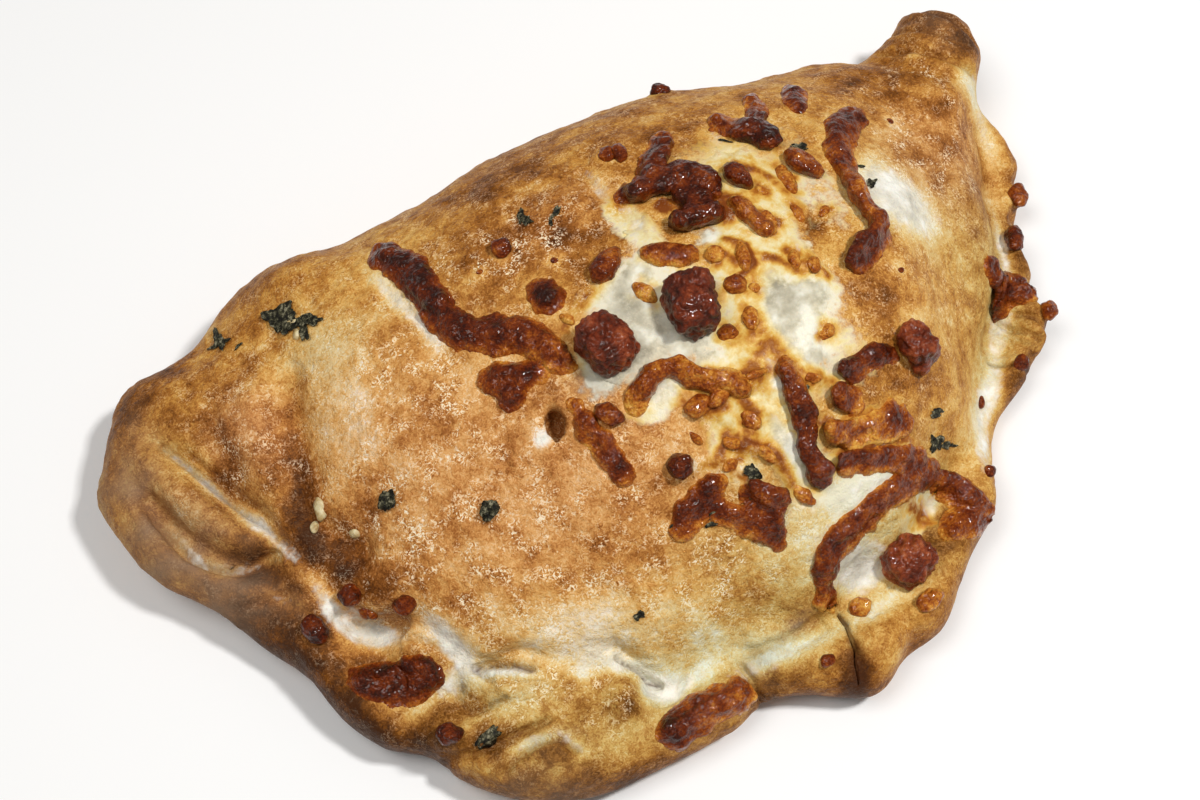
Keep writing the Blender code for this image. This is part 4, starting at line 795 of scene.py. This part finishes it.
def roast_ham(look):
    """Cooked ham dried in the oven: dark red lean meat, fibrous and pitted, with a thin gloss of fat."""
    material, tree, place, surface = new_material("oven-dried cooked ham")
    browned = add_node(tree, ATTRIBUTE, out="Fac", attribute_name="browned")
    inputs = {"Vector": place, "Scale": per_mm(3.0), "Detail": 4.0, "Roughness": 0.65}
    blotch = add_node(tree, NOISE, inputs, "Fac")
    inputs = {"Vector": place, "Scale": per_mm(0.8), "Detail": 3.0, "Roughness": 0.65}
    grain = add_node(tree, NOISE, inputs, "Fac")
    level = add_node(tree, MATH, {0: blotch, 1: 0.7, 2: browned}, 0, operation="MULTIPLY_ADD")
    level = add_node(tree, MATH, {0: grain, 1: 0.9, 2: level}, 0, operation="MULTIPLY_ADD")
    level = add_node(tree, MATH, {0: level, 1: 0.72}, 0, operation="SUBTRACT")
    stops = (
        (0.0, "#C07B50"),
        (0.25, "#9C4B26"),
        (0.5, "#742B10"),
        (0.75, "#521A09"),
        (1.0, "#2A0D05"),
    )
    colour = add_node(tree, RAMP, {"Fac": level}, "Color", stops)
    relief = add_node(tree, MATH, {0: grain, 1: look.grain_relief / MM}, 0, operation="MULTIPLY")
    normal = add_node(tree, BUMP, {"Height": relief, "Distance": MM, "Strength": 1.0}, "Normal")
    inputs = {
        "Base Color": colour,
        "Roughness": 0.3,
        "Normal": normal,
        "IOR": 1.45,
        "Specular IOR Level": 0.3,
        "Specular Tint": linear("#FFDABC"),
        "Coat Weight": 0.35,
        "Coat Roughness": 0.08,
    }
    shader = add_node(tree, SHADER, inputs, "BSDF")
    tree.links.new(shader, surface)
    return material


def dried_parsley():
    """Dried parsley that has charred a little: matte, dark green to black, greyer in patches that are partly
    its own grey and partly painted highlight.
    """
    material, tree, place, surface = new_material("dried parsley")
    inputs = {"Vector": place, "Scale": per_mm(1.1), "Detail": 3.0, "Roughness": 0.75}
    vein = add_node(tree, NOISE, inputs, "Fac")
    stops = (
        (0.4, "#14110A"),
        (0.49, "#2A281A"),
        (0.56, "#4E4A34"),
        (0.64, "#8F886E"),
    )
    colour = add_node(tree, RAMP, {"Fac": vein}, "Color", stops)
    normal = add_node(tree, BUMP, {"Height": vein, "Distance": 0.4 * MM, "Strength": 1.0}, "Normal")
    inputs = {"Base Color": colour, "Roughness": 0.6, "Specular IOR Level": 0.2, "Normal": normal}
    shader = add_node(tree, SHADER, inputs, "BSDF")
    tree.links.new(shader, surface)
    return material


def cooked_garlic():
    """Bits of garlic gone glassy in the oven: cream, waxy and a little translucent."""
    material, tree, place, surface = new_material("cooked garlic")
    blotch = add_node(tree, NOISE, {"Vector": place, "Scale": per_mm(1.2), "Detail": 2.0}, "Fac")
    stops = ((0.35, "#DDCDA0"), (0.65, "#B4965F"))
    colour = add_node(tree, RAMP, {"Fac": blotch}, "Color", stops)
    normal = add_node(tree, BUMP, {"Height": blotch, "Distance": 0.3 * MM, "Strength": 1.0}, "Normal")
    inputs = {
        "Base Color": colour,
        "Roughness": 0.4,
        "Normal": normal,
        "Subsurface Weight": 0.3,
        "Subsurface Radius": (0.002, 0.0016, 0.001),
    }
    shader = add_node(tree, SHADER, inputs, "BSDF")
    tree.links.new(shader, surface)
    return material


def studio_floor(colour):
    """A smooth, pale studio table: matte paint with hardly any unevenness."""
    material, tree, place, surface = new_material("pale matte paint")
    haze = add_node(tree, NOISE, {"Vector": place, "Scale": per_mm(60), "Detail": 2.0}, "Fac")
    shade = add_node(tree, MATH, {0: haze, 1: 0.02}, 0, operation="MULTIPLY")
    tint = add_node(tree, MIX, {0: shade, 6: tuple(colour), 7: linear("#D8D6D2")}, 2, data_type="RGBA")
    shader = add_node(tree, SHADER, {"Base Color": tint, "Roughness": 0.9}, "BSDF")
    tree.links.new(shader, surface)
    return material


# What a user can change


def length(name, description, default, **limits):
    """A setting that is a length, whose default is in millimetres."""
    return FloatProperty(name=name, description=description, default=default * MM, unit="LENGTH", **limits)


def angle(name, description, default):
    """A setting that is an angle, whose default is in degrees."""
    default = math.radians(default)
    return FloatProperty(name=name, description=description, default=default, subtype="ANGLE")


def number(name, description, default):
    return FloatProperty(name=name, description=description, default=default)


class CrustLook(bpy.types.PropertyGroup):
    """The crust and the cheese that has melted into it."""

    grid: length("Grid", "Fineness of the crust's mesh", 0.62, min=0.4 * MM)
    swell: length("Swell", "Height of its 6 mm unevenness", 0.35)
    blister: length("Blisters", "Height of its small blisters", 0.22)
    blotches: number("Blotches", "Strength of the 5 mm browning", 0.7)
    specks: number("Specks", "Strength of the 1.6 mm browning", 0.24)
    grain: number("Grain", "Strength of the 0.7 mm browning", 0.5)
    # sparkle and flecks set the painted highlights of the oily clusters: the grain's extra contrast and the
    # cream flecks
    sparkle: number("Sparkle", "Extra strength of the grain in oily clusters", 1.1)
    flecks: number("Flecks", "Strength of the cream flecks in oily clusters", 1.35)
    speck_relief: length("Speck relief", "Depth of the 1.6 mm relief", 0.48)
    grain_relief: length("Grain relief", "Depth of the 0.7 mm relief", 0.15)


class CheeseLook(bpy.types.PropertyGroup):
    """The browned beads of grated cheese."""

    grid: length("Grid", "Fineness of a bead's mesh", 0.32)
    lumps: length("Lumps", "Height of a bead's lumps", 0.85)
    sink: length("Sink", "How deep a bead lies in the surface", 0.85)
    spread: length("Spread", "How far a bead's foot runs out", 0.8)
    blotches: number("Blotches", "Strength of the uneven browning", 1.1)
    pit_relief: length("Pits", "Depth of the skin's 1 mm pits", 0.6)
    bubble_relief: length("Bubbles", "Depth of the bubbled skin", 0.14)


class HamLook(bpy.types.PropertyGroup):
    """The cubes of ham."""

    grid: length("Grid", "Fineness of a cube's mesh", 0.32)
    lumps: length("Lumps", "Height of its ragged lumps", 0.75)
    grain_relief: length("Grain relief", "Depth of its fibrous relief", 0.65)


class HerbLook(bpy.types.PropertyGroup):
    """The dried herbs."""

    thickness: length("Thickness", "Of a blade", 0.14)


class StageLook(bpy.types.PropertyGroup):
    """The table, the lights and the camera."""

    floor: FloatVectorProperty(
        name="Floor", description="Colour of the table", subtype="COLOR", size=4, default=linear("#FCFBF9")
    )
    size: length("Size", "Length of the table's side", 3000)
    elevation: angle("Elevation", "The camera's, above the table", 65)
    azimuth: angle("Azimuth", "The camera's, round the food", -28)
    distance: length("Distance", "To the camera", 362)
    lens: number("Lens", "Focal length in millimetres", 55.0)
    key: number("Key light", "Strength in watts", 5.1)
    fill: number("Overhead light", "Strength in watts", 2.85)
    sky: number("Room light", "Strength of the light from all round", 0.2)


# The pieces

CRUST_TRIANGLES = 190000  # of the finished crust, about
SHEET_GRID = 0.5  # fineness of the melted cheese's mesh, in millimetres
# The gap from the dough to the solids on it, in millimetres, and what each unit of its slope adds, to a limit
SOLID_GAP, SLOPE_GAP, STEEPEST = 0.35, 0.9, 1.4
# A crease's swollen banks: how far from its line, in half widths, and how high, in parts of its depth
BANK_PLACE, BANK_HEIGHT = 1.9, 0.3

# What pieces leave for later ones: the "crust" and "beads" materials, and as grounds the solid dough
# ("bare"), the finished crust ("ground") and the crust with its melted cheese ("top")
COVERED = {}


def press_crust(obj, look):
    """Presses the creases, swells and blisters into the crust's skin."""
    points, normals = skin_of(obj)
    plan = wander(points, far=0.0, near=0.35)
    # swells 6, 13 and 2.4 mm broad, and blisters in patches 9 mm broad where no cheese has run
    out = look.swell / MM * unevenness(points, 6.0)
    out += 0.45 * unevenness(points, 13.0, 6.0) + 0.16 * unevenness(points, 2.4, 3.0)
    wet = joined(points[:, :2], CHEESE, edge=0.2)
    blistered = bubbles(points, 2.3, 9.0) * step(-0.1, 0.35, unevenness(points, 9.0, 5.0))
    out += look.blister / MM * blistered * (1 - wet)
    for crease in CREASES:
        away = distance_to(crease.path, plan) / crease.wide
        out -= crease.deep * bell(away) - BANK_HEIGHT * crease.deep * bell(away - BANK_PLACE)
    for fold in FOLDS:
        out -= fold.deep * bell(distance_to(fold.path, plan) / fold.wide)
    for web in WEBS:
        out += web.deep * bell(distance_to(web.path, plan) / web.wide)
    # the underside has a third of the relief, and the foot that stands on the table none
    under_share = 0.35
    upper = np.maximum(step(-0.25, 0.25, normals[:, 2]), under_share)
    foot_free = step(0.2, 2.0, points[:, 2])
    moved = points + normals * (out * upper * foot_free)[:, None]
    low, high = np.array(CAD_LOW) / MM, np.array(CAD_HIGH) / MM
    moved[:, :2] = np.clip(moved[:, :2], low[:2], high[:2])
    moved[:, 2] = np.maximum(moved[:, 2], 0)
    set_points(obj, moved)


def bubble_cutter(ground):
    """What the burst bubble takes out of the crust."""
    bm = bmesh.new()
    bmesh.ops.create_icosphere(bm, subdivisions=4, radius=1.0)
    scaled(bm, BUBBLE.long, BUBBLE.wide, BUBBLE_DEPTH)
    for vert in bm.verts:
        vert.co *= 1 + 0.16 * noise.noise(vert.co / 1.3)
    turned(bm, BUBBLE.turn)
    place = Vector((BUBBLE.x, BUBBLE.y, ground.at(BUBBLE.x, BUBBLE.y)[0]))
    bmesh.ops.translate(bm, vec=place, verts=bm.verts[:])
    return bm


def split_cutter(ground):
    """What the split takes out of the rim: a wedge along its path, widest in the middle."""
    bm = bmesh.new()
    deep, least_top, over = 7, 4, 2
    previous = None
    for i, (x, y) in enumerate(SPLIT):
        wide = 0.16 + 0.42 * math.sin(math.pi * (i + 0.5) / len(SPLIT))
        top = max(ground.at(x, y)[0], least_top) + over
        corners = ((-1, top), (1, top), (0.1, top - deep))
        ring = [bm.verts.new((x + side * wide, y, z)) for side, z in corners]
        if previous:
            for a in range(3):
                b = (a + 1) % 3
                bm.faces.new((previous[a], previous[b], ring[b], ring[a]))
        else:
            bm.faces.new(ring)
        previous = ring
    bm.faces.new(previous[::-1])
    bmesh.ops.recalc_face_normals(bm, faces=bm.faces[:])
    return bm


def cut_openings(obj):
    """Cuts the split across the rim and the burst bubble out of the crust."""
    ground = Ground(obj)
    cutters = []
    for cutter in (bubble_cutter, split_cutter):
        bm = cutter(ground)
        scaled(bm, MM, MM, MM)
        cutters.append(new_piece(cutter.__name__, bm, obj.data.materials[0]))
    for cutter in cutters:
        cut = obj.modifiers.new("cut", "BOOLEAN")
        cut.operation = "DIFFERENCE"
        cut.solver = "MANIFOLD"
        cut.object = cutter
        apply_modifiers(obj)
        bpy.data.objects.remove(cutter)


def mark_surface(obj, beads):
    """Writes how the oven, the cheese and the flour have marked each point of a surface, and where shade and
    glints are painted on it.
    """
    points, normals = skin_of(obj)
    plan = wander(points, far=1.8, near=0.8)
    near = wander(points, far=0.5, near=0.35)
    browned = PLAIN_BROWN + summed(plan, BROWNING_AND_SHADE, edge=0.22)
    # sides turn darker over the last 15 mm to the tray, more so at the rim, partly real browning and partly
    # painted shade of the steep sides; the underside is evenly baked
    fold_side, rim_side = 0.05, 0.16
    side = 1 - step(2.0, 15.0, points[:, 2])
    browned += side * (fold_side + rim_side * step(26, 14, points[:, 1]))
    under = step(0.5, 0.9, -normals[:, 2])
    under_brown = 0.62
    patchy = under_brown + 0.22 * unevenness(points, 16.0, 2.0) + 0.12 * unevenness(points, 5.0, 3.0)
    browned = browned * (1 - under) + patchy * under + 0.07 * unevenness(points, 10.0, 3.0)
    top = 1 - under

    # cheese has run out and toasted round the beads, over about 1.45 mm, and along the ridges
    toasted, reach, run_out = 0.66, 1.45, 1.15
    uneven_gap = np.maximum(beads + 0.9 * unevenness(points, 3.0, 4.0), 0)
    near_bead = toasted * np.exp(-((uneven_gap / reach) ** 1.5))
    web = np.zeros(len(points))
    for ridge in WEBS:
        web = np.maximum(web, ridge.dark * bell(distance_to(ridge.path, near) / (run_out * ridge.wide)))
    cheese = np.maximum(joined(plan, CHEESE, edge=0.14), web) * top

    # painted shade: the creases' lines, the split, more broadly down the rim, and the bubble's pit are
    # darkened where shade falls in them
    line, split_shade_dark, pit_dark = 0.75, 0.85, 0.4
    dark = np.zeros(len(points))
    for crease in CREASES:
        dark = np.maximum(dark, crease.dark * bell(distance_to(crease.path, near) / crease.wide / line))
    split_shade_wide = 0.45 + 0.24 * np.clip(-54 - points[:, 1], 0, 10)
    split_shade = split_shade_dark * bell(distance_to(SPLIT, near) / split_shade_wide)
    pit = cover(near, BUBBLE._replace(long=3.0, wide=1.8), edge=0.08)
    dark = np.maximum(np.maximum(dark, split_shade), pit * pit_dark)

    # close to a bead the dough stays pale; the oil's painted glints are strongest on the crown
    halo_pale, halo_wide = 0.4, 1.3
    halo = halo_pale * bell(beads / halo_wide) * (1 - cheese) * top
    glints = 0.04 + 0.14 * step(18, 26, points[:, 2]) + 0.82 * joined(plan, PAINTED_GLINT_PATCHES, edge=0.4)
    write_marks(
        obj,
        browned=browned,
        raw=np.maximum(joined(near, RAW, edge=0.3) * top, halo),
        cheese=cheese,
        white=joined(near, WHITE_CHEESE, edge=0.3) * (1 - near_bead) * (1 - web) * top,
        toast=(np.maximum(near_bead, web) + 0.34 * joined(plan, OILY, edge=0.3)) * top,
        grey=joined(plan, GREY, edge=0.25) * (0.6 + 0.5 * unevenness(points, 5.0, 8.0)) * top,
        pink=joined(plan, PINK, edge=0.3) * top,
        olive=joined(plan, OLIVE, edge=0.3) * top,
        glassy=joined(near, GLASSY_AND_CREASE_SHADE, edge=0.4) * top,
        glints=glints * (0.65 + 0.9 * unevenness(points, 4.0, 6.0)) * top,
        dark=dark * top,
    )


def distance_to_beads(obj):
    """Distance of each point of a surface from the nearest bead or crumb of cheese, in millimetres."""
    spots = []
    for name in BEAD_BROWN:
        spots += [vert.co.copy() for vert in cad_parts["cheese_" + name].data.vertices]
    for crumb in CRUMBS:
        z = COVERED["ground"].at(crumb.x, crumb.y)[0]
        spots += [
            Vector((crumb.x + crumb.long * math.cos(a), crumb.y + crumb.wide * math.sin(a), z)) * MM
            for a in (0.0, math.tau / 4, math.tau / 2, 3 * math.tau / 4)
        ]
    tree = kdtree.KDTree(len(spots))
    for i, spot in enumerate(spots):
        tree.insert(spot, i)
    tree.balance()
    return np.array([tree.find(vert.co)[2] / MM for vert in obj.data.vertices])


class PANZEROTTO_OT_crust(bpy.types.Operator):
    """The dough: its fold, pinched rim, corners, split and burst bubble"""

    bl_idname = "panzerotto.crust"
    bl_label = "Crust"

    def execute(self, context):
        look = context.scene.panzerotto_crust
        COVERED["crust"] = baked_dough(look)
        obj = new_piece("crust", copy_of("dough"), COVERED["crust"])
        refine(obj, look.grid / MM, rounds=1, soft=5)
        press_crust(obj, look)
        cut_openings(obj)
        thin = obj.modifiers.new("fewer_faces", "DECIMATE")
        thin.ratio = min(1.0, CRUST_TRIANGLES / (2 * len(obj.data.polygons)))
        apply_modifiers(obj)
        obj.data.shade_smooth()
        COVERED["ground"] = Ground(obj)
        mark_surface(obj, distance_to_beads(obj))
        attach(obj, "root")
        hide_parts("dough")
        return {"FINISHED"}


class PANZEROTTO_OT_melted_cheese(bpy.types.Operator):
    """The thin sheet of melted cheese, running out to nothing at its edge"""

    bl_idname = "panzerotto.melted_cheese"
    bl_label = "Melted cheese"

    def execute(self, context):
        obj = new_piece("melted_sheet", copy_of("melted_cheese"), COVERED["crust"])
        refine(obj, SHEET_GRID, rounds=0, soft=4)
        points, normals = skin_of(obj)
        ground = COVERED["ground"].heights(points[:, :2])
        plan = wander(points, far=1.2, near=0.5)
        # how far inside the solid's upright wall each point lies, in plan
        wall = kdtree.KDTree(len(points))
        for i in np.flatnonzero(np.abs(normals[:, 2]) < 0.4).tolist():
            wall.insert((*points[i, :2], 0), i)
        wall.balance()
        inside = np.array([wall.find((x, y, 0))[2] for x, y in points[:, :2].tolist()])
        # where the thickness is below 0 the crust shows through
        thick = 1.25 * (joined(plan, CHEESE, edge=0.12) - 0.42)
        thick += 0.25 * unevenness(points, 4.0, 2.0) + 0.12 * unevenness(points, 1.7, 4.0)
        thick = np.minimum(thick + 0.05, -0.5 + 1.1 * step(0.3, 4.5, inside))
        top = step(-0.2, 0.4, normals[:, 2])
        rooted = 0.8
        points[:, 2] = ground + thick * top - rooted * (1 - top)
        set_points(obj, points)
        obj.data.shade_smooth()
        mark_surface(obj, distance_to_beads(obj))
        COVERED["top"] = Ground(bpy.data.objects["crust"], obj)
        COVERED["bare"] = Ground(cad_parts["dough"])
        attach(obj, "root")
        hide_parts("melted_cheese")
        return {"FINISHED"}


def settle(obj, sink, spread):
    """Lets a copied solid down onto the finished surface, sinks its foot in and spreads it, as if melted.

    Gives the height of each point over the surface."""
    points, normals = skin_of(obj)
    plan = points[:, :2]
    points[:, 2] -= SOLID_GAP + SLOPE_GAP * COVERED["bare"].slopes(plan, STEEPEST) + sink
    height = points[:, 2] - COVERED["top"].heights(plan)
    points[:, 2] -= step(0.1, -0.5, normals[:, 2])
    level = np.linalg.norm(normals[:, :2], axis=1) + 1e-6
    reach = spread * step(1.2, -0.2, height) * step(0.15, 0.6, level)
    points[:, :2] += normals[:, :2] / level[:, None] * reach[:, None]
    set_points(obj, points)
    return height


class PANZEROTTO_OT_browned_cheese(bpy.types.Operator):
    """The beads of grated cheese that have fried brown"""

    bl_idname = "panzerotto.browned_cheese"
    bl_label = "Browned cheese"

    def execute(self, context):
        look = context.scene.panzerotto_cheese
        COVERED["beads"] = browned_cheese(look)
        for name, brown in BEAD_BROWN.items():
            obj = new_piece("bead_" + name, copy_of("cheese_" + name), COVERED["beads"])
            refine(obj, look.grid / MM, rounds=0, soft=3)
            height = settle(obj, sink=look.sink / MM, spread=look.spread / MM)
            points, normals = skin_of(obj)
            # small beads are rounder: lumps grow to their full height on beads over 13 mm long
            calm = 0.2 + 0.8 * step(7.0, 13.0, max(np.ptp(points[:, :2], axis=0)))
            lumps = unevenness(points, 3.2, 1.0) + 0.3 * unevenness(points, 1.3, 2.0)
            out = look.lumps / MM * lumps * calm + 0.15 * bubbles(points, 1.8, 4.0)
            set_points(obj, points + normals * out[:, None])
            obj.data.shade_smooth()
            level = brown + summed(points[:, :2], BEAD_SHADES, edge=0.25)
            level += 0.4 * (step(-0.2, 1.6, height) - 0.85) + 0.12 * unevenness(points, 3.0, 6.0)
            write_marks(obj, browned=level)
            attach(obj, "root")
            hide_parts("cheese_" + name)
        return {"FINISHED"}


class PANZEROTTO_OT_ham(bpy.types.Operator):
    """The cubes of ham"""

    bl_idname = "panzerotto.ham"
    bl_label = "Ham"

    def execute(self, context):
        look = context.scene.panzerotto_ham
        material = roast_ham(look)
        for name, brown in HAM_BROWN.items():
            obj = new_piece("ham_cube_" + name, copy_of("ham_" + name), material)
            refine(obj, look.grid / MM, rounds=0, soft=4)
            height = settle(obj, sink=0.3, spread=0.2)
            points, normals = skin_of(obj)
            out = look.lumps / MM * (unevenness(points, 3.0, 1.0) + 0.7 * unevenness(points, 1.1, 2.0))
            out += 0.3 * bubbles(points, 1.3, 7.0)
            set_points(obj, points + normals * out[:, None])
            obj.data.shade_smooth()
            # painted shade: darker in its hollows; lighter at its foot
            level = brown + 0.25 * unevenness(points, 3.0, 6.0) - 0.3 * out
            write_marks(obj, browned=level - 0.25 * step(1.6, 0.2, height))
            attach(obj, "root")
            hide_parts("ham_" + name)
        return {"FINISHED"}


def scattered(name, crumbs, material, seed):
    """One piece of small rounded crumbs, each a rough dome let into the surface."""
    sunk, upright = 0.1, 0.4  # millimetres, and how much less than the surface a crumb leans
    whole = bmesh.new()
    levels = []
    for i, crumb in enumerate(crumbs):
        bm = bmesh.new()
        bmesh.ops.create_icosphere(bm, subdivisions=3, radius=1.0)
        scaled(bm, crumb.long, crumb.wide, crumb.high)
        bm.normal_update()
        shift = Vector((seed, i * 3.7, 0))
        for vert in bm.verts:
            swell = 0.26 * noise.noise(vert.co / 1.5 + shift) + 0.08 * noise.noise(vert.co / 0.7 + shift)
            vert.co += vert.normal * swell * min(crumb.long, 2.0)
        turned(bm, crumb.turn)
        height, normal = COVERED["top"].at(crumb.x, crumb.y)
        tilt = UP.rotation_difference(normal.lerp(UP, upright)).to_matrix()
        bmesh.ops.rotate(bm, matrix=tilt, verts=bm.verts[:])
        bmesh.ops.translate(bm, vec=Vector((crumb.x, crumb.y, height - sunk)), verts=bm.verts[:])
        scaled(bm, MM, MM, MM)
        levels += [crumb.brown] * len(bm.verts)
        add_part(whole, bm)
    obj = new_piece(name, whole, material)
    rough = unevenness(skin_of(obj)[0], 2.0, 3.0)
    write_marks(obj, browned=np.array(levels) + 0.1 * rough)
    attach(obj, "root")
    return obj


class PANZEROTTO_OT_crumbs(bpy.types.Operator):
    """The small browned crumbs of cheese and the bits of garlic"""

    bl_idname = "panzerotto.crumbs"
    bl_label = "Crumbs and garlic"

    def execute(self, context):
        scattered("browned_crumbs", CRUMBS, COVERED["beads"], 1.0)
        scattered("garlic_bits", GARLIC, cooked_garlic(), 8.0)
        return {"FINISHED"}


def blades(name, table, material, thickness, seed):
    """One piece of crumpled leaf blades: wavy discs with toothed edges, thickened at the end."""
    clear = 0.12  # millimetres over the surface
    sharp, blunt = 1.05, 0.3  # how toothed flat and curled blades are
    whole = bmesh.new()
    for i, blade in enumerate(table):
        bm = bmesh.new()
        bmesh.ops.create_circle(bm, cap_ends=True, cap_tris=True, segments=16, radius=1.0)
        bmesh.ops.subdivide_edges(bm, edges=bm.edges[:], cuts=2, use_grid_fill=True)
        bmesh.ops.triangulate(bm, faces=bm.faces[:])
        shift = Vector((seed + i * 5.3, i * 2.1, 0))
        torn = sharp if blade.curl < 1 else blunt
        for vert in bm.verts:
            away = vert.co.length
            teeth = noise.noise(vert.co * 1.1 + shift) + 0.35 * noise.noise(vert.co * 3 + shift)
            lobes = 1 + torn * away * teeth
            flat = Vector((vert.co.x * blade.long, vert.co.y * blade.wide, 0)) * lobes
            lift = blade.curl * (0.5 * away**2 + 0.8 * noise.noise(flat / 0.9 + shift) + 0.25)
            vert.co = flat + Vector((0, 0, max(lift, 0.0)))
        turned(bm, blade.turn)
        for vert in bm.verts:
            x, y = blade.x + vert.co.x, blade.y + vert.co.y
            vert.co = Vector((x, y, COVERED["top"].at(x, y)[0] + clear + vert.co.z)) * MM
        bmesh.ops.recalc_face_normals(bm, faces=bm.faces[:])
        add_part(whole, bm)
    obj = new_piece(name, whole, material)
    thick = obj.modifiers.new("thickness", "SOLIDIFY")
    thick.thickness = thickness
    thick.offset = 0
    apply_modifiers(obj)
    obj.data.shade_smooth()
    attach(obj, "root")
    return obj


class PANZEROTTO_OT_herbs(bpy.types.Operator):
    """The dried herbs: the large leaf by the fold and the small flakes"""

    bl_idname = "panzerotto.herbs"
    bl_label = "Herbs"

    def execute(self, context):
        look = context.scene.panzerotto_herbs
        material = dried_parsley()
        leaf = blades("parsley_leaf", PARSLEY, material, look.thickness, 2.0)
        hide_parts("herb_leaf")
        blades("herb_flakes", HERBS, material, look.thickness, 60.0)
        return {"FINISHED"}


class PANZEROTTO_OT_stage(bpy.types.Operator):
    """The table, the lights and the camera"""

    bl_idname = "panzerotto.stage"
    bl_label = "Stage"

    def execute(self, context):
        look = context.scene.panzerotto_stage
        bm = bmesh.new()
        bmesh.ops.create_grid(bm, x_segments=1, y_segments=1, size=look.size / 2)
        floor = new_piece("studio_table", bm, studio_floor(look.floor))

        sky = bpy.data.worlds.new("soft room")
        sky.use_nodes = True
        room = sky.node_tree.nodes["Background"]
        room.inputs["Color"].default_value = linear("#FFFFFF")
        room.inputs["Strength"].default_value = look.sky
        context.scene.world = sky

        target = Vector((-8.3, 9.7, 15.0)) * MM  # what the camera and the lamps point at
        level, turn = math.cos(look.elevation), look.azimuth
        # from the target back to the camera, and the picture's right and up
        back = Vector((math.sin(turn) * level, -math.cos(turn) * level, math.sin(look.elevation)))
        right = Vector((math.cos(turn), math.sin(turn), 0))
        up = back.cross(right)
        # a small light stands to the picture's right, and a broad soft one over it
        lamp_distance = 0.9
        for name, way, side, power in (
            ("key", right * 0.55 + up * 0.45 + back * 1.0, 0.1, look.key),
            ("overhead", up * 0.35 + back * 1.0 - right * 0.35, 0.4, look.fill),
        ):
            lamp = bpy.data.lights.new(name, "AREA")
            lamp.size = side
            lamp.energy = power
            light = bpy.data.objects.new(name, lamp)
            light.location = target + way.normalized() * lamp_distance
            light.rotation_euler = way.to_track_quat("Z", "Y").to_euler()
            context.scene.collection.objects.link(light)

        lens = bpy.data.cameras.new("camera")
        lens.lens = look.lens
        lens.clip_start, lens.clip_end = 0.01, 10.0
        camera = bpy.data.objects.new("camera", lens)
        camera.location = target + back * look.distance
        camera.rotation_euler = back.to_track_quat("Z", "Y").to_euler()
        context.scene.collection.objects.link(camera)
        context.scene.camera = camera
        context.scene.view_settings.view_transform = "Standard"
        return {"FINISHED"}


OPERATORS = (
    PANZEROTTO_OT_crust,
    PANZEROTTO_OT_melted_cheese,
    PANZEROTTO_OT_browned_cheese,
    PANZEROTTO_OT_ham,
    PANZEROTTO_OT_crumbs,
    PANZEROTTO_OT_herbs,
    PANZEROTTO_OT_stage,
)
LOOKS = {
    "panzerotto_crust": CrustLook,
    "panzerotto_cheese": CheeseLook,
    "panzerotto_ham": HamLook,
    "panzerotto_herbs": HerbLook,
    "panzerotto_stage": StageLook,
}


class PANZEROTTO_PT_panel(bpy.types.Panel):
    """Lists the pieces and what can be changed about them"""

    bl_idname = "PANZEROTTO_PT_panel"
    bl_label = "Panzerotto"
    bl_space_type = "VIEW_3D"
    bl_region_type = "UI"
    bl_category = "Panzerotto"

    def draw(self, context):
        for name, group in LOOKS.items():
            box = self.layout.box()
            look = getattr(context.scene, name)
            for setting in group.__annotations__:
                box.prop(look, setting)
        for operator in OPERATORS:
            self.layout.operator(operator.bl_idname)


def register():
    for group in (*LOOKS.values(), *OPERATORS, PANZEROTTO_PT_panel):
        bpy.utils.register_class(group)
    for name, group in LOOKS.items():
        setattr(bpy.types.Scene, name, PointerProperty(type=group))


def unregister():
    for name in LOOKS:
        delattr(bpy.types.Scene, name)
    for group in (PANZEROTTO_PT_panel, *reversed(OPERATORS), *LOOKS.values()):
        bpy.utils.unregister_class(group)


def main():
    register()
    for operator in OPERATORS:
        family, name = operator.bl_idname.split(".")
        getattr(getattr(bpy.ops, family), name)()


if __name__ == "__main__":
    main()
